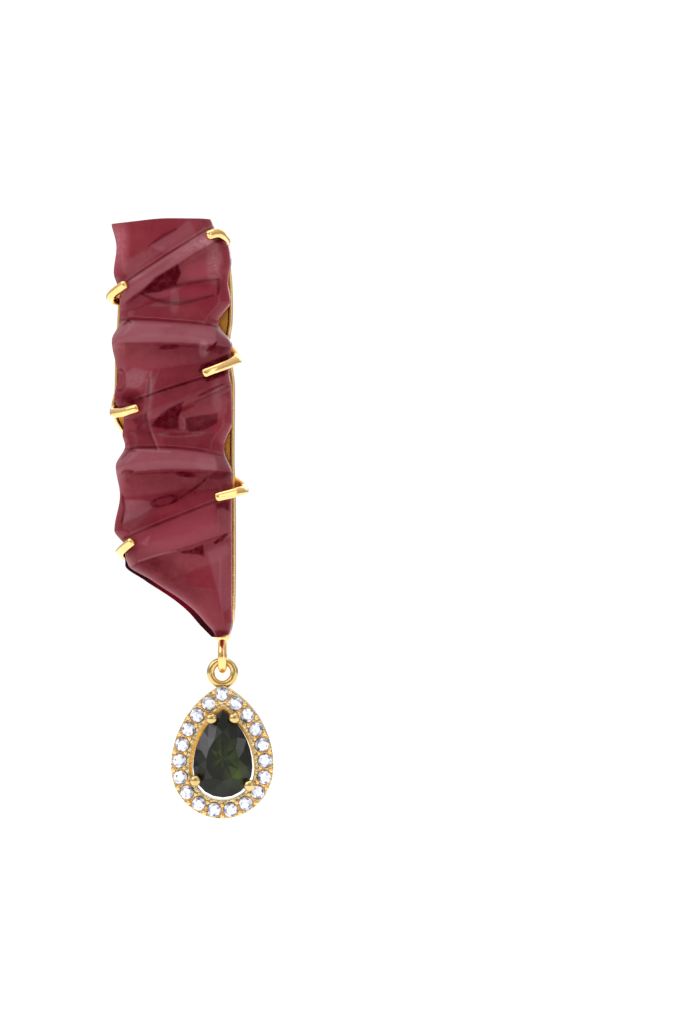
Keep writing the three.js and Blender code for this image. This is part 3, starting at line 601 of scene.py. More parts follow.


# %% [markdown]
# Between the bands the carver cut hollows, each with a crisp rim, and short facets. They are an
# oval each: where it lies, how long and wide it is, how it is turned, and what it does. A
# hollow sinks the surface. The other ovals only colour it, with painted light: pale ones are a
# painted reflection, rosy ones a painted glow of light from inside the crystal, frosty ones a
# frosted texture painted pale as a highlight, and dark ones mostly painted shade and shadow.

# %% Hollows, facets and marks
# across and down are shares of the stone, long and wide are half sizes in millimetres, turn is
# in degrees from level and rises to the right.
OVALS = named_rows("does across down long wide turn amount soft ring", [
    ("sink", 0.56, 0.17, 3.7, 1.2, 7, 0.26, 0.45),
    ("sink", 0.64, 0.486, 3.5, 1.2, 3, 0.3, 0.4),
    ("sink", 0.46, 0.64, 3.9, 0.9, 12, 0.16, 0.6),
    ("sink", 0.07, 0.385, 0.5, 1.2, 0, 0.35, 0.6),
    ("rosy", 0.07, 0.055, 0.9, 2.2, 0, 0.8, 0.8),
    ("frost", 0.06, 0.06, 0.75, 2.0, 0, 0.55, 0.9),
    ("frost", 0.68, 0.066, 2.0, 0.4, 34, 0.6, 0.9),
    ("dark", 0.66, 0.412, 4.2, 1.1, 15, 0.3, 0.6),
    ("dark", 0.87, 0.049, 0.8, 0.3, -25, 0.6, 0.5),
    ("dark", 0.62, 0.335, 3.2, 1.5, 8, 0.22, 0.8),
    ("dark", 0.52, 0.635, 4.2, 1.5, 5, 0.2, 0.8),
    ("dark", 0.5, 0.39, 2.4, 1.2, 12, 0.16, 0.7),
    ("dark", 0.42, 0.845, 2.6, 1.4, -35, 0.2, 0.8),
    ("frost", 0.22, 0.385, 1.3, 0.9, 0, 0.3, 0.6),
    ("frost", 0.2, 0.697, 1.5, 0.9, 0, 0.2, 0.6),
    ("rosy", 0.73, 0.122, 1.6, 0.85, 12, 0.45, 0.4),
    ("rosy", 0.62, 0.178, 3.0, 0.5, 4, 0.35, 0.5),
    ("pale", 0.53, 0.196, 0.45, 1.25, 0, 0.45, 0.3),
    ("frost", 0.86, 0.1, 0.6, 1.9, 0, 0.6, 0.8),
    ("frost", 0.8, 0.055, 1.0, 0.45, 38, 0.8, 0.6),
    ("frost", 0.775, 0.312, 0.45, 0.75, 0, 0.9, 0.4),
    ("frost", 0.88, 0.418, 0.45, 1.3, 0, 0.45, 0.8),
    ("frost", 0.32, 0.42, 0.4, 2.0, -6, 0.35, 0.8),
    ("frost", 0.94, 0.71, 0.5, 1.0, 0, 0.3, 0.8),
    ("rosy", 0.45, 0.345, 3.4, 0.8, 6, 0.3, 0.9),
    ("pale", 0.8, 0.587, 1.1, 0.7, -10, 0.35, 0.5),
    ("pale", 0.27, 0.268, 1.6, 0.5, -8, 0.3, 0.7),
    ("pale", 0.74, 0.283, 1.4, 0.6, -10, 0.3, 0.7),
    ("rosy", 0.6, 0.755, 3.6, 1.1, 16, 0.4, 0.6),
    ("dark", 0.445, 0.674, 1.2, 0.42, 14, 0.42, 0, 0.1),
    ("dark", 0.07, 0.385, 0.5, 1.05, 0, 0.5, 0, 0.12),
    ("dark", 0.485, 0.308, 0.95, 0.22, 3, 0.75, 0.5),
    ("dark", 0.63, 0.611, 1.0, 0.24, -6, 0.7, 0.5),
    ("dark", 0.12, 0.435, 1.5, 0.6, 5, 0.4, 0.7),
    ("dark", 0.52, 0.665, 4.4, 0.75, 20, 0.3, 0.6),
    ("dark", 0.24, 0.725, 2.2, 0.7, 10, 0.35, 0.7),
    ("dark", 0.93, 0.7, 0.8, 1.5, 0, 0.3, 0.5),
    ("dark", 0.13, 0.79, 1.0, 0.8, 0, 0.45, 0.8),
    ("dark", 0.88, 0.991, 1.3, 0.36, 0, 0.8, 0.5),
    ("dark", 0.46, 0.86, 3.2, 1.3, -30, 0.3, 0.9),
])
# Patches have straight sides: the corners are pairs of across and down, soft is in millimetres.
# Pale patches are painted reflection, and dark ones painted shade and shadow.
PATCHES = named_rows("does amount soft corners", [
    ("pale", 0.42, 0.35, [
        (0.313, 0.066), (0.537, 0.031), (0.654, 0.002), (0.7, 0.03), (0.725, 0.05), (0.443, 0.083),
    ]),
    ("dark", 0.85, 0.3, [
        (0.25, 0.181), (0.37, 0.143), (0.56, 0.112), (0.585, 0.132), (0.545, 0.158), (0.38, 0.176),
    ]),
    ("dark", 0.7, 0.2, [(0.883, 0.142), (0.905, 0.142), (0.912, 0.165), (0.9, 0.182), (0.882, 0.181)]),
    ("dark", 0.85, 0.25, [
        (1.01, 0.318), (1.0, 0.331), (0.925, 0.347), (0.76, 0.369), (0.725, 0.366), (0.75, 0.35),
        (0.89, 0.334),
    ]),
    ("dark", 0.7, 0.25, [(0.77, 0.383), (0.9, 0.364), (0.97, 0.36), (0.95, 0.376), (0.8, 0.391)]),
    ("pale", 0.6, 0.25, [
        (0.119, 0.368), (0.184, 0.357), (0.313, 0.364), (0.278, 0.388), (0.219, 0.405),
        (0.125, 0.402),
    ]),
    ("dark", 0.4, 0.4, [
        (0.08, 0.42), (0.13, 0.407), (0.22, 0.409), (0.28, 0.436), (0.2, 0.447), (0.09, 0.436),
    ]),
    ("dark", 0.85, 0.3, [
        (0.335, 0.495), (0.42, 0.466), (0.49, 0.453), (0.607, 0.438), (0.585, 0.46), (0.56, 0.474),
        (0.57, 0.505), (0.456, 0.503),
    ]),
    ("dark", 0.7, 0.25, [
        (0.62, 0.477), (0.76, 0.469), (0.89, 0.464), (0.886, 0.487), (0.793, 0.503), (0.66, 0.511),
        (0.62, 0.5),
    ]),
    ("dark", 0.28, 0.3, [(0.12, 0.506), (0.26, 0.495), (0.33, 0.512), (0.375, 0.552), (0.16, 0.551)]),
    ("dark", 0.22, 0.4, [(0.43, 0.516), (0.62, 0.52), (0.86, 0.512), (0.87, 0.55), (0.45, 0.548)]),
    ("dark", 0.5, 0.25, [(0.17, 0.48), (0.3, 0.463), (0.315, 0.482), (0.26, 0.49), (0.225, 0.503)]),
    ("pale", 0.62, 0.22, [
        (0.095, 0.67), (0.252, 0.672), (0.36, 0.678), (0.342, 0.691), (0.228, 0.712),
        (0.095, 0.727),
    ]),
    ("pale", 0.45, 0.18, [(0.25, 0.775), (0.31, 0.758), (0.335, 0.757), (0.3, 0.78)]),
    ("dark", 0.68, 0.16, [
        (0.565, 0.796), (0.673, 0.789), (0.769, 0.777), (0.778, 0.806), (0.72, 0.801),
        (0.63, 0.799),
    ]),
    ("dark", 0.75, 0.14, [(0.853, 0.773), (0.95, 0.752), (0.978, 0.752), (0.93, 0.769), (0.87, 0.777)]),
    ("dark", 0.6, 0.3, [(0.87, 0.68), (0.99, 0.672), (0.99, 0.7), (0.93, 0.69), (0.885, 0.694)]),
    ("dark", 0.3, 0.3, [
        (0.87, 0.255), (0.95, 0.275), (1.02, 0.31), (0.9, 0.325), (0.82, 0.316), (0.878, 0.295),
    ]),
    ("dark", 0.3, 0.3, [
        (0.868, 0.565), (0.96, 0.57), (1.02, 0.614), (0.89, 0.624), (0.8, 0.618), (0.886, 0.6),
    ]),
    ("pale", 0.45, 0.5, [(0.8, 0.795), (0.975, 0.775), (0.985, 0.93), (0.92, 0.94), (0.84, 0.85)]),
])
# Lines run from one place to the next. Width is a half width in millimetres. Pale lines are
# painted highlights along ridges and edges, and dark ones painted shade in creases. A cut line
# is painted dark too, and also sinks the surface.
LINE_STEPS, OVAL_POWER = 13, 2.4  # a power over 2 makes an oval a little square
LINES = named_rows("does width amount through", [
    ("dark", 0.14, 0.55, [(0.544, 0.026), (0.43, 0.043), (0.315, 0.066)]),
    ("dark", 0.17, 0.5, [(0.252, 0.181), (0.38, 0.195), (0.57, 0.203), (0.85, 0.184)]),
    ("dark", 0.16, 0.5, [(0.37, 0.176), (0.615, 0.156), (0.88, 0.145)]),
    ("dark", 0.13, 0.55, [(0.885, 0.296), (0.83, 0.31), (0.8, 0.316)]),
    ("cut", 0.14, 0.3, [(0.323, 0.381), (0.311, 0.436), (0.298, 0.483), (0.385, 0.554)]),
    ("dark", 0.14, 0.5, [(0.93, 0.397), (0.85, 0.408), (0.74, 0.424)]),
    ("dark", 0.12, 0.4, [(0.8, 0.616), (0.76, 0.63), (0.61, 0.661), (0.5, 0.68)]),
    ("dark", 0.14, 0.65, [(0.085, 0.66), (0.105, 0.69), (0.085, 0.725)]),
    ("dark", 0.12, 0.6, [(0.1, 0.255), (0.14, 0.246), (0.17, 0.25)]),
    ("dark", 0.13, 0.6, [(0.09, 0.607), (0.12, 0.603), (0.19, 0.603)]),
    ("dark", 0.13, 0.5, [(0.09, 0.573), (0.15, 0.555), (0.21, 0.556)]),
    ("pale", 0.15, 0.55, [(0.33, 0.365), (0.325, 0.42), (0.305, 0.48), (0.4, 0.55)]),
    ("pale", 0.12, 0.35, [(0.4, 0.36), (0.335, 0.41)]),
    ("pale", 0.09, 0.9, [(0.22, 0.817), (0.39, 0.803), (0.55, 0.793)]),
    ("pale", 0.12, 0.5, [(0.12, 0.243), (0.24, 0.257), (0.5, 0.258)]),
    ("pale", 0.12, 0.5, [(0.22, 0.552), (0.4, 0.556), (0.5, 0.557)]),
    ("pale", 0.1, 0.4, [(0.57, 0.465), (0.62, 0.49), (0.6, 0.505)]),
    ("pale", 0.1, 0.5, [(0.18, 0.148), (0.27, 0.136)]),
])


def in_mm(shares):
    """Places in shares of the stone as millimetres from its top left corner."""
    return [(across * stone_width, down * stone_length) for across, down in shares]


def off_step(x, y, x0, y0, x1, y1):
    """How far places lie from the straight step between two points."""
    run, rise = x1 - x0, y1 - y0
    t = np.clip(((x - x0) * run + (y - y0) * rise) / (run**2 + rise**2), 0, 1)
    return np.hypot(x - x0 - t * run, y - y0 - t * rise)


def patch_share(patch, across, down):
    """1 inside a patch, 0 outside it and a soft step at its sides."""
    corners = in_mm(patch["corners"])
    x, y = across * stone_width, down * stone_length
    nearest = np.full(x.shape, 1e9)
    inside = np.zeros(x.shape, bool)
    for (x0, y0), (x1, y1) in zip(corners, corners[1:] + corners[:1]):
        nearest = np.minimum(nearest, off_step(x, y, x0, y0, x1, y1))
        if y0 != y1:
            inside ^= ((y0 > y) != (y1 > y)) & (x < (x1 - x0) * (y - y0) / (y1 - y0) + x0)
    return smooth(np.where(inside, nearest, -nearest) / patch["soft"] + 0.5)


def oval_share(oval, across, down):
    """1 inside an oval, 0 outside it and a soft step between."""
    right = (across - oval["across"]) * stone_width
    up = (oval["down"] - down) * stone_length
    turn = math.radians(oval["turn"])
    along = (right * math.cos(turn) + up * math.sin(turn)) / oval["long"]
    aside = (up * math.cos(turn) - right * math.sin(turn)) / oval["wide"]
    away = (np.abs(along) ** OVAL_POWER + np.abs(aside) ** OVAL_POWER) ** (1 / OVAL_POWER)
    if "ring" in oval:
        return smooth(1.5 - np.abs(away - 1) * oval["wide"] / oval["ring"])
    return smooth((1 - away) / (2 * oval["soft"]) + 0.5)


def through_points(stops, steps):
    """An even run of points on a smooth curve through the stops."""
    stops = np.asarray(stops, float)
    padded = np.concatenate([[2 * stops[0] - stops[1]], stops, [2 * stops[-1] - stops[-2]]])
    fine = []
    for i in range(1, len(padded) - 2):
        a, b, c, d = padded[i - 1 : i + 3]
        for t in np.linspace(0, 1, 24, endpoint=False):
            bend = (2 * a - 5 * b + 4 * c - d) * t**2 + (3 * b - a - 3 * c + d) * t**3
            fine.append(b + 0.5 * ((c - a) * t + bend))
    fine = np.array([*fine, stops[-1]])
    length = np.concatenate([[0], np.cumsum(np.linalg.norm(np.diff(fine, axis=0), axis=1))])
    run = np.linspace(0, length[-1], steps)
    return np.stack([np.interp(run, length, fine[:, k]) for k in range(stops.shape[1])], axis=1)


def line_share(line, across, down):
    """1 on a line and 0 beyond its width, thinner towards both ends."""
    stops = through_points(in_mm(line["through"]), LINE_STEPS)
    x, y = across * stone_width, down * stone_length
    share = np.zeros_like(x)
    for i, (first, second) in enumerate(zip(stops, stops[1:])):
        away = off_step(x, y, *first, *second)
        width = line["width"] * (0.6 + 0.6 * math.sin(math.pi * (i + 0.5) / (LINE_STEPS - 1)))
        share = np.maximum(share, smooth(1.5 - away / width))
    return share


# %% [markdown]
# Now the surface itself. One function gives the thickness and the painted numbers of any place,
# and is used twice: for the stone's own grid, and later to lay the claws on it.

# %% Thickness and paint of the stone
CUT_DEPTH, DARKEST, FOOT_TAPER = 0.22, 0.92, 0.12
RIM_GLOW, RIM_REACH = 0.5, 0.35  # light that comes through the thin edge
SHADE, SHADE_REACH = 0.3, 2.4  # the shadow that a band throws on what lies below it


def stone_surface(across, down):
    """Thickness over the flat back in millimetres, and the painted numbers, at places in shares."""
    across, down = np.broadcast_arrays(np.asarray(across, float), np.asarray(down, float))
    left, right = edge_at(LEFT_EDGE, down), edge_at(RIGHT_EDGE, down)
    middle, half = (left + right) / 2, np.maximum((right - left) / 2, 0.01)
    off = np.clip(np.abs(across - middle) / half, 0, 1)
    lean = np.abs(edge_at(LEFT_EDGE, down + 0.01) - left) * stone_width / (0.01 * stone_length)
    to_edge = half * (1 - off) * stone_width / np.where(across < middle, np.hypot(1, lean), 1)
    rounded = 1 - (1 - np.clip(to_edge / EDGE_ROUND, 0, 1)) ** 2.2
    relief = np.zeros_like(across)
    # The paint is painted light: sheen, glow, highlights on frosted spots, and shade.
    paint = {key: np.zeros_like(across) for key in ("pale", "rosy", "frost", "dark")}
    for band in BANDS:
        profile, inside, above, below, height = band_profile(band, across, down)
        relief = np.maximum(relief, profile)
        # Each band takes painted sheen on its face, painted shade in the crease above it and painted shadow
        # below it.
        within = smooth(1.4 * height) * smooth(0.5 - above / 0.16) * smooth(0.5 - below / 0.3)
        paint["pale"] += band["pale"] * within * (0.72 + 0.28 * np.sin(np.pi * inside))
        crease = smooth(1 - np.abs(above - 0.14) / 0.22) + 0.15 * smooth(1 - np.abs(below - 0.2) / 0.3)
        shade = SHADE * smooth(1 - below / SHADE_REACH) * (below > 0)
        paint["dark"] += smooth(1.6 * height) * (band["crease"] * crease + shade * (across > 0.12))
    for oval in OVALS:
        share = oval["amount"] * oval_share(oval, across, down)
        if oval["does"] == "sink":
            relief = relief - share
        else:
            paint[oval["does"]] += share
    for patch in PATCHES:
        paint[patch["does"]] += patch["amount"] * patch_share(patch, across, down)
    for line in LINES:
        share = line["amount"] * line_share(line, across, down)
        # A cut line is painted dark as the shade in its groove.
        if line["does"] == "cut":
            relief = relief - CUT_DEPTH * share
        paint["dark" if line["does"] == "cut" else line["does"]] += share
    # The thin edge takes a painted glow, which clears the painted shade there.
    rim = RIM_GLOW * smooth(1 - to_edge / RIM_REACH)
    paint["rosy"] += rim
    paint["dark"] = np.minimum(paint["dark"], DARKEST) * (1 - rim)
    to_foot = np.clip((1 - down) / FOOT_TAPER, 0, 1)
    thickness = FRONT_RIM + EDGE_RISE * rounded + DOMING * (1 - off**2) * to_foot
    return thickness + TALLEST_FOLD * relief * (0.45 + 0.55 * rounded), paint


# %% [markdown]
# The stone's skin is a grid: rows down the stone, columns across its front. Columns crowd
# towards the sides, where the surface turns round into the wall. The wall and the flat back
# close it into one body.

# %% Carved stone
STONE_ROWS, STONE_COLUMNS, CROWDING = 440, 120, 0.35
NARROW, GIRDLE_SHARE = 0.3, 0.3  # the widest lean and the back edge, as shares of width and rim
FOOT_LEAN_FROM, FOOT_LEAN_OVER, TOP_DROP_OVER, TOP_DROP_ACROSS = 0.8, 0.06, 0.06, 0.6


def make_carved_stone():
    """The stone as closed sections, one for each row."""
    down = np.linspace(0, 1, STONE_ROWS)[:, None]
    share = np.linspace(0, 1, STONE_COLUMNS)[None, :]
    even = CROWDING * (0.5 - 0.5 * np.cos(np.pi * share)) + (1 - CROWDING) * share
    left, level = place(edge_at(LEFT_EDGE, down), down)
    right, _ = place(edge_at(RIGHT_EDGE, down), down)
    width = right - left
    at_foot = smooth((down - FOOT_LEAN_FROM) / FOOT_LEAN_OVER)
    lean_left = np.minimum(WALL_LEAN + FOOT_LEAN * at_foot, width * NARROW)
    lean_right, bevel = np.minimum(WALL_LEAN, width * NARROW), np.minimum(BACK_BEVEL, width * NARROW)
    front = left + lean_left + even * (width - lean_left - lean_right)
    thickness, paint = stone_surface((left + even * width - stone_low.x) / stone_width, down)
    x = np.concatenate([right - bevel, left + bevel, left, front, right], axis=1)
    back, girdle = np.zeros_like(left), np.full_like(left, GIRDLE_SHARE * FRONT_RIM)
    y = stone_high.y - np.concatenate([back, back, girdle, thickness, girdle], axis=1)
    at_corner = 1 - smooth((x - left) / (TOP_DROP_ACROSS * width))
    sag = np.clip(1 - down / TOP_DROP_OVER, 0, 1) * TOP_CORNER_DROP * at_corner
    points, faces = lofted(np.stack([x, y, level - sag], axis=2))
    paints = {key: np.pad(values, ((0, 0), (3, 1))).ravel() for key, values in paint.items()}
    around = STONE_COLUMNS + 4
    column = np.arange((STONE_ROWS - 1) * around) % around
    walls = np.isin(column, (0, 1, 2)).astype(int)
    second = (wall_finish, [*walls, 0, 0])
    mesh = make_mesh("carved_stone_skin", points, faces, carved_finish, 50.0, paints, second)
    hand_over("carved_stone_skin", mesh, "top", ["carved_stone"])


make_carved_stone()

# %% [markdown]
# Behind the stone is a gold tray: a floor with oval windows and a low rim that follows the
# stone's sides. A flat curve with holes in it, given a thickness and a small bevel, makes such a
# plate in one step, where a mesh would need its holes cut.

# %% Tray
TRAY_LEFT = [
    (0.02, 0.08), (0.19, 0.05), (0.25, 0.04), (0.32, 0.025), (0.405, 0.02), (0.443, -0.006),
    (0.48, 0.02), (0.516, 0.092), (0.55, 0.13), (0.62, 0.1), (0.75, 0.085), (0.8, 0.145),
    (0.838, 0.235), (0.88, 0.44), (0.93, 0.655), (0.962, 0.775), (0.99, 0.865),
]
TRAY_RIGHT = [
    (0.02, 0.83), (0.047, 0.955), (0.2, 0.995), (0.24, 0.992), (0.285, 0.972), (0.34, 0.99),
    (0.4, 1.012), (0.58, 1.008), (0.65, 1.018), (0.82, 1.02), (0.91, 1.016), (0.965, 1.005),
    (0.99, 0.95),
]
TRAY_FLOOR, TRAY_DEPTH, TRAY_RIM, TRAY_BEVEL, TRAY_STEP = 0.8, 1.9, 0.45, 0.19, 0.04
SHARPEST_TURN = 0.6  # a loop moved inwards goes no further out at a bend than this allows
WINDOWS = [(0.53, 0.315), (0.53, 0.46), (0.53, 0.605)]
WINDOW_WIDTH, WINDOW_HEIGHT = 5.4, 4.4


def tray_loop(inset, rows=90):
    """The tray's outline in x and z, moved inwards."""
    down = np.linspace(TRAY_LEFT[0][0], TRAY_LEFT[-1][0], rows)
    left = np.stack(place(edge_at(TRAY_LEFT, down), down), axis=1)
    right = np.stack(place(edge_at(TRAY_RIGHT, down), down), axis=1)
    loop = np.concatenate([left, right[::-1]])
    before = loop - np.roll(loop, 1, axis=0)
    after = np.roll(loop, -1, axis=0) - loop
    before /= np.linalg.norm(before, axis=1, keepdims=True)
    after /= np.linalg.norm(after, axis=1, keepdims=True)
    inwards = np.stack([-(before + after)[:, 1], (before + after)[:, 0]], axis=1)
    inwards /= np.linalg.norm(inwards, axis=1, keepdims=True)
    spread = np.maximum(SHARPEST_TURN, np.sqrt((1 + (before * after).sum(axis=1)) / 2))
    return loop + inwards * (inset / spread)[:, None]


def window_loop(across, down):
    """An upright ellipse as a loop in x and z."""
    turn = np.linspace(0, 2 * np.pi, 64, endpoint=False)
    x, z = place(across, down)
    return np.stack([x + WINDOW_WIDTH / 2 * np.cos(turn), z + WINDOW_HEIGHT / 2 * np.sin(turn)], axis=1)


def add_loop(curve, points):
    """Adds a closed line through points to a curve."""
    spline = curve.splines.new("POLY")
    spline.points.add(len(points) - 1)
    spline.points.foreach_set("co", np.pad(points, ((0, 0), (0, 1)), constant_values=1).ravel())
    spline.use_cyclic_u = True


def evaluated_mesh(holder):
    """The mesh that an object's curve and modifiers come to. The object itself is removed."""
    bpy.context.view_layer.update()
    seen = holder.evaluated_get(bpy.context.evaluated_depsgraph_get())
    mesh = bpy.data.meshes.new_from_object(seen)
    bpy.data.objects.remove(holder)
    return mesh


def plate_mesh(loops, front_from, front_to, bevel):
    """Points and faces of a plate with holes, from a flat curve, upright and facing the front."""
    curve = bpy.data.curves.new("plate", "CURVE")
    curve.dimensions = "2D"
    curve.fill_mode = "BOTH"
    curve.extrude = (front_to - front_from) / 2 - bevel
    curve.bevel_depth = bevel
    curve.bevel_resolution = 3
    for loop in loops:
        add_loop(curve, np.pad(loop, ((0, 0), (0, 1))))
    holder = bpy.data.objects.new("plate", curve)
    bpy.context.scene.collection.objects.link(holder)
    mesh = evaluated_mesh(holder)
    flat = np.array([v.co for v in mesh.vertices])
    faces = [tuple(p.vertices) for p in mesh.polygons]
    bpy.data.curves.remove(curve)
    bpy.data.meshes.remove(mesh)
    middle = -(front_from + front_to) / 2
    return np.stack([flat[:, 0], middle - flat[:, 2], flat[:, 1]], axis=1), faces


def joined(*bodies):
    """Several bodies of points and faces as one."""
    points, faces, shift = [], [], 0
    for body_points, body_faces in bodies:
        points.append(np.asarray(body_points, float))
        faces.extend(tuple(i + shift for i in face) for face in body_faces)
        shift += len(body_points)
    return np.concatenate(points), faces


windows = [window_loop(across, down) for across, down in WINDOWS]
floor_plate = plate_mesh([tray_loop(TRAY_RIM / 2), *windows], TRAY_STEP, TRAY_FLOOR, TRAY_STEP)
rim = plate_mesh([tray_loop(TRAY_BEVEL), tray_loop(TRAY_RIM - TRAY_BEVEL)], 0, TRAY_DEPTH, TRAY_BEVEL)
# The floor is the warmer gold: painted shade and reflection deep inside the rim.
inside = [0] * len(rim[1]) + [1] * len(floor_plate[1])
make_gold_piece("gold_tray", "top", *joined(rim, floor_plate), sharp=30.0, second=(warm_gold, inside))

# %% [markdown]
# Six claws rise from the tray, stand out past the stone and are bent down on its front. Each is
# a flat bar with rounded corners, swept along a curve. The curve's height comes from the stone's
# own surface, so a claw that crosses a fold rides over it.

# %% Claws
CLAW_WIDTH, CLAW_THICKNESS, CLAW_STEPS, CLAW_SOFTENING, CLAW_FLARE = 0.92, 0.74, 56, 40, 0.45
CLAW_GAP, CLAW_END, ROOT_GOLD_REACH, SKIN_MARGIN = 0.03, 0.32, 0.9, 0.03
CLAWS = named_rows("root out over tip", [
    ((0.93, 0.062), (0.95, 0.048), (0.892, 0.034), (0.81, 0.043)),
    ((0.08, 0.191), (-0.012, 0.188), (0.045, 0.173), (0.125, 0.16)),
    ((0.995, 0.315), (1.043, 0.334), (0.93, 0.352), (0.775, 0.371)),
    ((0.04, 0.45), (0.012, 0.463), (0.1, 0.463), (0.225, 0.4535)),
    ((1.01, 0.63), (1.105, 0.647), (1.01, 0.655), (0.875, 0.665)),
    ((0.13, 0.808), (0.068, 0.799), (0.12, 0.785), (0.185, 0.771)),
])


def rounded_section(width, thickness, count=32, power=2.35):
    """A rectangle with rounded corners, as across and up."""
    turn = np.linspace(0, 2 * np.pi, count, endpoint=False) + np.pi / count
    c, s = np.cos(turn), np.sin(turn)
    reach = (np.abs(c) ** power + np.abs(s) ** power) ** (-1 / power)
    return np.stack([reach * c * width / 2, reach * s * thickness / 2], axis=1)


def swept(path, section, side_hint, end_round, flare=0.0):
    """A section swept along a path, wider at its start, with its last rings drawn in to round the end."""
    tangent = np.gradient(path, axis=0)
    tangent /= np.linalg.norm(tangent, axis=1, keepdims=True)
    rings = []
    wider = 1 + flare * smooth(1 - np.linspace(0, 2, len(path)))
    for centre, along, wide in zip(path, tangent, wider):
        side = side_hint - along * np.dot(side_hint, along)
        side *= wide / np.linalg.norm(side)
        up = np.cross(side, along) / wide
        rings.append(centre + section[:, :1] * side + section[:, 1:] * up)
    last, along = rings[-1], tangent[-1]
    for turn in np.radians([15, 30, 45, 60, 75, 88]):
        drawn_in = (last - path[-1]) * math.cos(turn) ** 0.6
        rings.append(path[-1] + drawn_in + along * end_round * math.sin(turn))
    return lofted(rings)


def claw_body(claw):
    """One claw, from its root in the tray to its tip on the stone."""
    root, out, tip = (np.array(place(*claw[key])) for key in ("root", "out", "tip"))
    lift = CLAW_THICKNESS / 2 + CLAW_GAP
    knee = root * 0.4 + out * 0.6
    stops = [(*root, -TRAY_DEPTH / 2), (*knee, -TRAY_DEPTH), (*out, -TRAY_DEPTH - FRONT_RIM * 0.6)]
    inner = 1 - SKIN_MARGIN if claw["out"][0] > 0.5 else SKIN_MARGIN
    half = CLAW_WIDTH / (2 * stone_length)
    for (a0, d0), (a1, d1) in ((claw["out"], claw["over"]), (claw["over"], claw["tip"])):
        for share in (0.6, 1.0):
            across, down = a0 + (a1 - a0) * share, d0 + (d1 - d0) * share
            seen = min(across, inner) if inner > 0.5 else max(across, inner)
            near = stone_surface(np.full(5, seen), down + half * np.linspace(-1.1, 1.1, 5))[0]
            x, z = place(across, down)
            stops.append((x, z, stone_high.y - float(near.max()) - lift))
    path = through_points([(x, y, z) for x, z, y in stops], CLAW_STEPS)
    for _ in range(CLAW_SOFTENING):
        path[1:-1] = (path[:-2] + 2 * path[1:-1] + path[2:]) / 4
    direction = np.array([tip[0] - out[0], 0.0, tip[1] - out[1]])
    side = np.array([-direction[2], 0.0, direction[0]])
    return swept(path[:-1], rounded_section(CLAW_WIDTH, CLAW_THICKNESS), side, CLAW_END, CLAW_FLARE)


points, faces = joined(*(claw_body(claw) for claw in CLAWS))
# The claws are a redder, rougher gold from their roots to a little in front of the tray.
at_root = [int(points[list(face)][:, 1].mean() > -TRAY_DEPTH - ROOT_GOLD_REACH) for face in faces]
make_gold_piece("gold_claws", "top", points, faces, sharp=40.0, second=(root_gold, at_root))

# %% [markdown]
# Two links join stone and cluster. The upper one is a tall loop that stands edge-on and is
# soldered to the tray's tip by a small flared tab. The lower one is a round ring that faces the
# front. Both are wires bent into a closed loop, so one function makes them.

# %% Links
BAIL_WIRE, BAIL_HEIGHT, BAIL_WIDTH = 0.84, 1.95, 1.5
RING_WIRE, RING_INNER = 0.8, 1.56
TAB_WIDTH = 1.6
bail_middle = Vector((pivot.x, pivot.y, metal_low.z + BAIL_WIRE + BAIL_HEIGHT / 2))
ring_middle = Vector((pivot.x, pivot.y, pivot.z - (RING_INNER + RING_WIRE) / 2))


def wire_loop(middle, half_side, half_up, wire, stands, around=72, sides=20):
    """A closed loop of round wire, in the plane of z and the axis it stands along."""
    turn = np.linspace(0, 2 * np.pi, around, endpoint=False)
    roll = np.linspace(0, 2 * np.pi, sides, endpoint=False)
    out = np.stack([half_up * np.cos(turn), half_side * np.sin(turn)], axis=1)
    out /= np.linalg.norm(out, axis=1, keepdims=True)
    flat = np.stack([half_side * np.cos(turn), half_up * np.sin(turn)], axis=1)
    along = flat[:, None, 0] + out[:, None, 0] * np.cos(roll) * wire / 2
    up = flat[:, None, 1] + out[:, None, 1] * np.cos(roll) * wire / 2
    aside = np.broadcast_to(np.sin(roll) * wire / 2, along.shape)
    x, y = (along, aside) if stands == "x" else (aside, along)
    return lofted(np.stack([x, y, up], axis=2) + np.array(middle), endless=True)


def tab_body():
    """The flared tab between the tray's tip and the upper link."""
    tray_tip = place(0, TRAY_LEFT[-1][0])[1]
    stone_tip = stone_low.z
    link_top = bail_middle.z + BAIL_HEIGHT / 2
    # Each row is a height, a half width, and the fronts of its two faces.
    stops = [
        (tray_tip + 0.5, TAB_WIDTH / 2, TRAY_DEPTH - 0.05, 0.15),
        (stone_tip - 0.05, TAB_WIDTH / 2, 2.05, 0.3),
        (stone_tip - 0.3, BAIL_WIRE * 0.78, 2.0, 0.6),
        (stone_tip - 0.55, BAIL_WIRE * 0.54, 1.95, 0.8),
        (link_top + BAIL_WIRE * 0.2, BAIL_WIRE * 0.46, 1.85, 1.0),
    ]
    rings = []
    for z, half, front, back in stops:
        section = rounded_section(2 * half, front - back, 20, 3.0)
        rings.append([(pivot.x + a, -(front + back) / 2 + b, z) for a, b in section])
    return lofted(rings)


bail_half_wide, bail_half_high = (BAIL_WIDTH + BAIL_WIRE) / 2, (BAIL_HEIGHT + BAIL_WIRE) / 2
bail_loop = wire_loop(bail_middle, bail_half_wide, bail_half_high, BAIL_WIRE, "y")
make_gold_piece("gold_bail", "top", *joined(bail_loop, tab_body()))
ring_half = (RING_INNER + RING_WIRE) / 2
ring_loop = wire_loop(ring_middle, ring_half, ring_half, RING_WIRE, "x")
make_gold_piece("gold_ring", "drop", *ring_loop, drop_gold)

# %% [markdown]
# The ear post stands on the tray's back, where the photograph doesn't show it. It is plain: a
# turned pad, a thin rod, a groove that a clutch snaps into and a rounded end. A profile turned
# round an axis makes all of that.

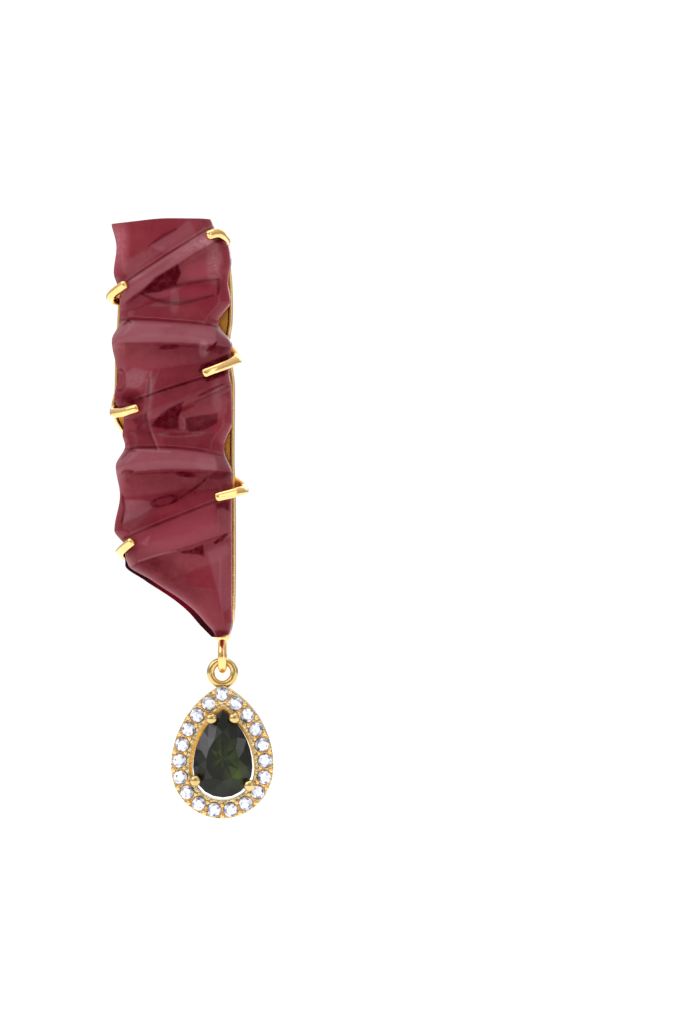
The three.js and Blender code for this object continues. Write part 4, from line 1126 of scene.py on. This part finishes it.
# %% Ear post
POST_LENGTH, POST_DIAMETER, PAD_DIAMETER, PAD_THICKNESS = 11.0, 0.9, 3.6, 0.5
POST_GROOVE, GROOVE_PLACE = 0.12, 2.6


def turned(profile, sides=48):
    """Points and faces of a profile of radius and distance, turned round the y axis."""
    turn = np.linspace(0, 2 * np.pi, sides, endpoint=False)
    return lofted([[(r * math.cos(a), y, r * math.sin(a)) for a in turn] for r, y in profile])


def post_body():
    """Pad, rod, groove and rounded end."""
    r, pad, pad_top = POST_DIAMETER / 2, PAD_DIAMETER / 2, PAD_THICKNESS
    groove, at = r - POST_GROOVE, POST_LENGTH - GROOVE_PLACE
    profile = [(pad * 0.94, -0.1), (pad, 0.06), (pad, 0.2), (pad * 0.93, 0.38), (pad * 0.6, pad_top)]
    profile += [(r + 0.25, pad_top + 0.06), (r + 0.06, pad_top + 0.18), (r, pad_top + 0.4), (r, at)]
    profile += [(groove, at + 0.2), (groove, at + 0.5), (r, at + 0.7)]
    end = [(r * math.cos(a), POST_LENGTH - r + r * math.sin(a)) for a in np.linspace(0, 1.45, 7)]
    return turned(profile + end)


make_gold_piece("ear_post", "top", *post_body(), sharp=32.0)

# %% [markdown]
# The cluster's outline is a pear: a half circle below, two long arcs up the sides and a small
# arc at the tip. Moving each arc in or out by the same amount gives every other outline that
# the cluster needs, from the frame's edge to the row of stones and the pear stone itself.

# %% The pear outline
HALO_WIDTH, SIDE_RADIUS, TIP_RADIUS, HALO_BAND, HALO_THICKNESS = 10.3, 9.3, 0.75, 1.86, 1.5
ROW_INSET, PEAR_GAP, ACCENT_COUNT, ACCENT_DIAMETER, ACCENT_SET = 0.82, 0.3, 19, 1.38, 0.1
halo_middle_x = (halo_low.x + halo_high.x) / 2
halo_middle_z = halo_low.z + HALO_WIDTH / 2
accent_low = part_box("accent_stone_01")[0] / MM
ACCENT_GIRDLE_HALF, ACCENT_CROWN = 0.03, 0.24
halo_front = accent_low.y + ACCENT_CROWN + ACCENT_GIRDLE_HALF + ACCENT_SET
print("halo front", round(halo_front, 3), "middle", round(halo_middle_x, 3), round(halo_middle_z, 3))


def pear_loop(offset, count, shift=0.0):
    """Even points on the pear outline, from straight down, moved outwards by an offset."""
    lobe, side, tip = HALO_WIDTH / 2 + offset, SIDE_RADIUS + offset, max(TIP_RADIUS + offset, 0.0)
    reach = SIDE_RADIUS - HALO_WIDTH / 2
    tip_z = math.sqrt((SIDE_RADIUS - TIP_RADIUS) ** 2 - reach**2)
    turn = math.asin(tip_z / (SIDE_RADIUS - TIP_RADIUS)) if tip > 0 else math.acos(reach / side)
    first, second, third = lobe * math.pi / 2, side * turn, tip * (math.pi / 2 - turn)
    half = first + second + third
    loop = []
    for i in range(count):
        run = 2 * half * ((i / count + shift) % 1.0)
        mirror = -1 if run > half else 1
        run = min(run, 2 * half - run)
        if run <= first:
            x, z = lobe * math.sin(run / lobe), -lobe * math.cos(run / lobe)
        elif run <= first + second or tip == 0:
            a = min((run - first) / side, turn)
            x, z = side * math.cos(a) - reach, side * math.sin(a)
        else:
            a = turn + (run - first - second) / tip
            x, z = tip * math.cos(a), tip_z + tip * math.sin(a)
        loop.append((mirror * x, z))
    return np.array(loop)


def in_halo(loop):
    """A loop moved to the cluster's middle."""
    return np.asarray(loop) + np.array([halo_middle_x, halo_middle_z])


# %% [markdown]
# The frame is a band of gold with a thin raised lip along its outer edge. A narrow rail inside
# its opening is a warmer gold, because polish that faces polish reflects itself again and again.

# %% Frame of the cluster
FRAME_BEVEL, FRAME_STEPS = 0.07, 200
LIP_FROM, LIP_TO, LIP_RISE, LIP_DEPTH = 0.04, 0.17, 0.07, 0.3
BRIGHT_DEPTH = 0.02
RAIL_WIDTH, RAIL_SHIFT, RAIL_BEVEL, RAIL_HEIGHT = 0.19, (0.06, -0.30), 0.06, 0.6


def frame_plate(outer_offset, inner_offset, *depth, steps=FRAME_STEPS, shift=(0, 0)):
    """A plate between two offsets of the pear outline. The inner one may be moved aside."""
    outer, inner = (in_halo(pear_loop(offset, steps)) for offset in (outer_offset, inner_offset))
    return plate_mesh([outer, inner + np.array(shift)], *depth)


front, back = -halo_front, -halo_front - HALO_THICKNESS
band = frame_plate(-FRAME_BEVEL, -HALO_BAND + FRAME_BEVEL, back, front, FRAME_BEVEL)
lip = frame_plate(-LIP_FROM, -LIP_TO, front - LIP_DEPTH, front + LIP_RISE, LIP_RISE / 2)
points, faces = joined(band, lip)
bright = [int(max(points[i][1] for i in face) < halo_front + BRIGHT_DEPTH) for face in faces]
make_gold_piece("halo_frame", "drop", points, faces, drop_gold, 30.0, (pave_gold, bright))

# The narrow rail behind the pear stone's rim is wider on the left.
rail_back = back + 0.05
rail_depth = rail_back, rail_back + RAIL_HEIGHT, RAIL_BEVEL
rail = frame_plate(-HALO_BAND + 0.03, -HALO_BAND - RAIL_WIDTH, *rail_depth, steps=160, shift=RAIL_SHIFT)
make_gold_piece("inner_rail", "drop", *rail, warm_gold, 30.0)

# %% [markdown]
# A faceted stone is cut by rule: a flat table, a ring of star facets, main facets down to the
# girdle, and the same again below. One function cuts a stone from any outline. It gives each
# facet its own tone, because in a real stone each one shows another piece of the room.

# %% Cut stones
# How far down the crown and in from the table the star facets end, and the same for the ring of
# corners low on the pavilion.
STAR_DOWN, STAR_OUT, LOW_DOWN, LOW_OUT = 0.52, 0.48, 0.74, 0.3


def cut_stone(outline, middle, table, crown, girdle, pavilion, seed, table_tone):
    """Points, faces and facet tones of a cut stone that faces the front, round its own middle."""
    outline = np.asarray(outline, float)
    count, corners = len(outline), len(outline) // 2
    centre = np.array([0.0, middle])

    def ring(which, share, y):
        flat = centre + (outline[which % count] - centre) * share
        return [(x, y, z) for x, z in flat]

    even, odd = np.arange(0, count, 2), np.arange(1, count, 2)
    wide = math.cos(math.pi / count)
    top = ring(even, table, -girdle / 2 - crown)
    star = ring(odd, (table + (1 - table) * STAR_OUT) / wide, -girdle / 2 - crown * STAR_DOWN)
    upper = ring(np.arange(count), 1.0, -girdle / 2)
    lower = ring(np.arange(count), 1.0, girdle / 2)
    pavilion_ring = ring(odd, LOW_OUT, girdle / 2 + pavilion * LOW_DOWN)
    points = [*top, *star, *upper, *lower, *pavilion_ring, (0.0, girdle / 2 + pavilion, middle)]
    t, s, u, w = 0, corners, 2 * corners, 2 * corners + count
    p, c = w + count, w + count + corners
    faces = [tuple(t + i for i in range(corners))]
    for i in range(corners):
        n, b = (i + 1) % corners, (i - 1) % corners
        a0, a1, a2 = 2 * i, 2 * i + 1, (2 * i + 2) % count
        faces += [(t + i, s + i, t + n), (t + i, s + b, u + a0, s + i)]
        faces += [(s + i, u + a0, u + a1), (s + i, u + a1, u + a2)]
        faces += [(u + a0, w + a0, w + a1, u + a1), (u + a1, w + a1, w + a2, u + a2)]
        faces += [(w + a0, p + i, w + a1), (w + a1, p + i, w + a2), (w + a0, p + b, p + i), (c, p + i, p + b)]
    tones = np.random.default_rng(seed).uniform(0, 1, len(faces))
    tones[0] = table_tone
    return np.array(points), facing_out(points, faces), tones


# %% [markdown]
# Small stones, the cups that they sit in and the grains that hold them all do the same thing:
# they repeat at even steps round a closed curve. That is work for Geometry Nodes. The tree
# takes a curve, a piece to repeat, how many, and how much each may turn, and it ends as plain
# mesh with its material set.

# %% A tree that sets pieces round a curve
REPEAT_INPUTS = {"Curve": "Geometry", "Piece": "Object", "Count": "Int"}
REPEAT_INPUTS |= {"Turn": "Float", "Seed": "Int", "Finish": "Material"}


def make_repeat_tree():
    """The tree, and the identifier of each of its inputs by name."""
    group = bpy.data.node_groups.new("set_round_a_curve", "GeometryNodeTree")
    names = {}
    for name, kind in REPEAT_INPUTS.items():
        made = group.interface.new_socket(name, in_out="INPUT", socket_type="NodeSocket" + kind)
        names[name] = made.identifier
    group.interface.new_socket("Mesh", in_out="OUTPUT", socket_type="NodeSocketGeometry")
    tree, source = Tree(group), group.nodes.new("NodeGroupInput")
    given = {name: Wire(group, source.outputs[name]) for name in names}
    limits = {2: 0.0, 3: given["Turn"], "Seed": given["Seed"]}
    turn = tree.node("FunctionNodeRandomValue", 1, limits, {"data_type": "FLOAT"})
    steps = {"Curve": given["Curve"], "Count": given["Count"]}
    spread = {
        "Points": tree.node("GeometryNodeResampleCurve", "Curve", steps),
        "Instance": tree.node("GeometryNodeObjectInfo", "Geometry", {"Object": given["Piece"]}),
        "Rotation": tree.node("ShaderNodeCombineXYZ", "Vector", {"Y": turn}),
    }
    spread = tree.node("GeometryNodeInstanceOnPoints", "Instances", spread)
    solid = tree.node("GeometryNodeRealizeInstances", "Geometry", {"Geometry": spread})
    finish = {"Geometry": solid, "Material": given["Finish"]}
    tree.node("NodeGroupOutput", 0, {0: tree.node("GeometryNodeSetMaterial", "Geometry", finish)})
    return group, names


repeat_tree, repeat_names = make_repeat_tree()


def set_round(name, loop, depth, mesh, turn, seed, finish, stands_for):
    """Repeats a mesh at the points of a loop and hands over one plain mesh."""
    curve = bpy.data.curves.new(name, "CURVE")
    curve.dimensions = "3D"
    add_loop(curve, np.insert(loop, 1, depth, axis=1) * MM)
    holder = bpy.data.objects.new(name + "_curve", curve)
    bpy.context.scene.collection.objects.link(holder)
    modifier = holder.modifiers.new("repeat", "NODES")
    modifier.node_group = repeat_tree
    piece = bpy.data.objects.new(name + "_piece", mesh)
    values = {"Piece": piece, "Count": ACCENT_COUNT, "Turn": turn, "Seed": seed, "Finish": finish}
    for key, value in values.items():
        modifier[repeat_names[key]] = value
    made = evaluated_mesh(holder)
    bpy.data.objects.remove(piece)
    made.name = name
    hand_over(name, made, "drop", stands_for)


# %% [markdown]
# The nineteen small stones: brilliants of 1.38 mm with eight main facets each. Each is turned a
# little differently in its seat, so no two sparkle alike.

# %% Small stones, cups and grains
ACCENT_TABLE, ACCENT_PAVILION, ACCENT_SEED, ACCENT_TURN_SEED = 0.57, 0.58, 7, 3
GRAIN_DIAMETER, GRAIN_RISE, GRAIN_OUT, GRAIN_IN, CUP_DEPTH = 0.5, 0.24, 0.56, 0.52, 0.02
accent_nodes = [name for name in frame["nodes"] if name.startswith("accent_stone")]


def circle_loop(radius, count):
    """A circle in x and z, from straight down."""
    turn = np.linspace(0, 2 * np.pi, count, endpoint=False)
    return np.stack([radius * np.sin(turn), -radius * np.cos(turn)], axis=1)


def row_loop(inset, shift=0.0):
    """The small stones' places, the first at the top, or the places between them."""
    return in_halo(pear_loop(-inset, 20 * ACCENT_COUNT, 0.5 + shift / ACCENT_COUNT))


def grain_body():
    """A grain: a short stem with a round head."""
    r = GRAIN_DIAMETER / 2
    profile = [(r * 0.8, 0.35), (r, 0.0)]
    profile += [(r * math.cos(a), -GRAIN_RISE * math.sin(a)) for a in np.linspace(0.2, 1.5, 5)]
    return turned(profile, 14)


def cup_body():
    """The thin bright collar that is cut round each stone."""
    r = ACCENT_DIAMETER / 2
    profile = [(r + 0.02, 0.12), (r + 0.09, 0.1), (r + 0.1, -0.03), (r + 0.06, -0.07), (r + 0.01, -0.02)]
    points, faces = turned([*profile, profile[0]], 28)
    return points, faces[:-2]


stone_points, stone_faces, stone_tones = cut_stone(
    circle_loop(ACCENT_DIAMETER / 2, 16),
    0,
    ACCENT_TABLE,
    ACCENT_CROWN,
    2 * ACCENT_GIRDLE_HALF,
    ACCENT_PAVILION,
    ACCENT_SEED,
    0.75,
)
small_stone = make_mesh("small_stone", stone_points, stone_faces, clear_finish, None, {"tone": stone_tones})
set_round(
    "accent_stones",
    row_loop(ROW_INSET),
    halo_front - ACCENT_SET,
    small_stone,
    2 * math.pi,
    ACCENT_TURN_SEED,
    clear_finish,
    accent_nodes,
)
for name, inset, shift, depth, body in (
    ("stone_cups", ROW_INSET, 0, halo_front - CUP_DEPTH, cup_body()),
    ("outer_grains", ROW_INSET - GRAIN_OUT, 0.5, halo_front, grain_body()),
    ("inner_grains", ROW_INSET + GRAIN_IN, 0.5, halo_front, grain_body()),
):
    mesh = make_mesh(name + "_one", *body, gold, 40.0)
    set_round(name, row_loop(inset, shift), depth, mesh, 0.0, 1, gold, ["halo_setting"])

# %% [markdown]
# The pear stone is cut from the same outline, moved in to its own size. Its facets are dark
# because the crystal swallows most light, and a few in the middle and low on the right glow
# olive, where light finds its way back.

# %% Pear stone
PEAR_MIDDLE, PEAR_TABLE, PEAR_CROWN, PEAR_GIRDLE, PEAR_PAVILION = 0.9, 0.56, 1.0, 0.25, 1.9
FACET_SEED, GLOW_SEED, GLOWS = 5, 8, (0.1, 0.3, 0.7, 1.0)
PEAR_SHIFT = (0.12, 0.0, -0.08)  # it sits a little low and to the right in its frame
# Crown facets near these places are painted grey, as reflections of the room: across and up
# from the round end's middle, and a radius.
GREY_PLACES = ((-1.3, 2.6, 1.2), (1.5, 1.9, 0.8))


def starred(points, table):
    """The points with a star laid out in the flat table, and the star's faces."""
    rim = points[list(table)]
    centre = rim.mean(axis=0)
    inner = centre + ((rim + np.roll(rim, -1, axis=0)) / 2 - centre) * 0.45
    count, start, star = len(table), len(points), []
    for i in range(count):
        n = (i + 1) % count
        star += [(table[i], table[n], start + i), (table[n], start + n, start + i)]
        star.append((start + i, start + n, start + count))
    return np.concatenate([points, inner, [centre]]), star


def make_pear_stone():
    """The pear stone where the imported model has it, but for its small shift."""
    outline = pear_loop(-HALO_BAND - PEAR_GAP, 24)
    height = PEAR_CROWN, PEAR_GIRDLE, PEAR_PAVILION
    points, faces, tones = cut_stone(outline, PEAR_MIDDLE, PEAR_TABLE, *height, FACET_SEED, 0.1)
    points, star = starred(points, faces[0])
    faces = [*star, *faces[1:]]
    tones = np.concatenate([np.full(len(star), tones[0]), tones[1:]])
    glow = np.random.default_rng(GLOW_SEED).choice(GLOWS, len(faces))
    shift = np.array([(pear_low.x + pear_high.x) / 2, pear_low.y + PEAR_CROWN + PEAR_GIRDLE / 2, 0.0])
    shift[2] = pear_low.z - outline[:, 1].min()
    shift += np.array(PEAR_SHIFT)
    middles = np.array([points[list(face)].mean(axis=0) for face in faces])
    grey = sum(np.hypot(middles[:, 0] - x, middles[:, 2] - z) < reach for x, z, reach in GREY_PLACES) > 0
    crown = np.arange(len(faces)) >= len(star)
    # Crown facets near the grey places get a painted grey reflection; the rest stay dark.
    tones = np.where(crown & grey, 0.5 + 0.4 * tones, 0.17 * tones)
    painted = {"tone": tones, "glow": glow}
    mesh = make_mesh("pear_cut_stone", points + shift, faces, pear_finish, 1.0, painted)
    hand_over("pear_cut_stone", mesh, "drop", ["pear_stone"])


make_pear_stone()

# %% [markdown]
# Four prongs stand in the frame's opening and end in a round bead over the pear stone's edge.
# A bead that was pressed down with a beading tool is never quite round, so each is a ball that
# is a touch flatter to the front.

# %% Prongs
PRONG_DIAMETER, BEAD_DIAMETER, BEAD_FLATNESS, BEAD_HEIGHT = 0.72, 1.16, 0.85, 0.38
# Each bead's place, in millimetres from the middle of the frame's round end.
BEADS = ((-1.05, 4.95), (1.24, 5.0), (-2.66, -1.25), (2.74, -1.75))


def prong_foot(bead):
    """The place on the opening's wall that is nearest to a bead."""
    wall = pear_loop(-HALO_BAND + PRONG_DIAMETER * 0.12, 720)
    return wall[np.argmin(np.hypot(*(wall - np.array(bead)).T))]


def ball(middle, radius):
    """A ball that is flatter from front to back."""
    bows = np.linspace(0.06, math.pi - 0.06, 16)
    points, faces = turned([(radius * math.sin(a), -radius * BEAD_FLATNESS * math.cos(a)) for a in bows], 28)
    return points + np.asarray(middle), faces


def prong_body(place_of_bead):
    """A round post up the opening's wall, leaning in to its bead."""
    stand, bead = in_halo(prong_foot(place_of_bead)), in_halo(place_of_bead)
    bead_y = pear_low.y + PEAR_CROWN * BEAD_HEIGHT
    stops = [
        (stand[0], halo_front + HALO_THICKNESS * 0.9, stand[1]),
        (stand[0], halo_front, stand[1]),
        (bead[0], bead_y, bead[1]),
    ]
    section = rounded_section(PRONG_DIAMETER, PRONG_DIAMETER, 20, 2.0)
    post = swept(through_points(stops, 14), section, np.array([1.0, 0.0, 0.0]), 0.05)
    return joined(post, ball((bead[0], bead_y, bead[1]), BEAD_DIAMETER / 2))


prongs = joined(*(prong_body(bead) for bead in BEADS))
make_gold_piece("pear_prongs", "drop", *prongs, drop_gold, 40.0)
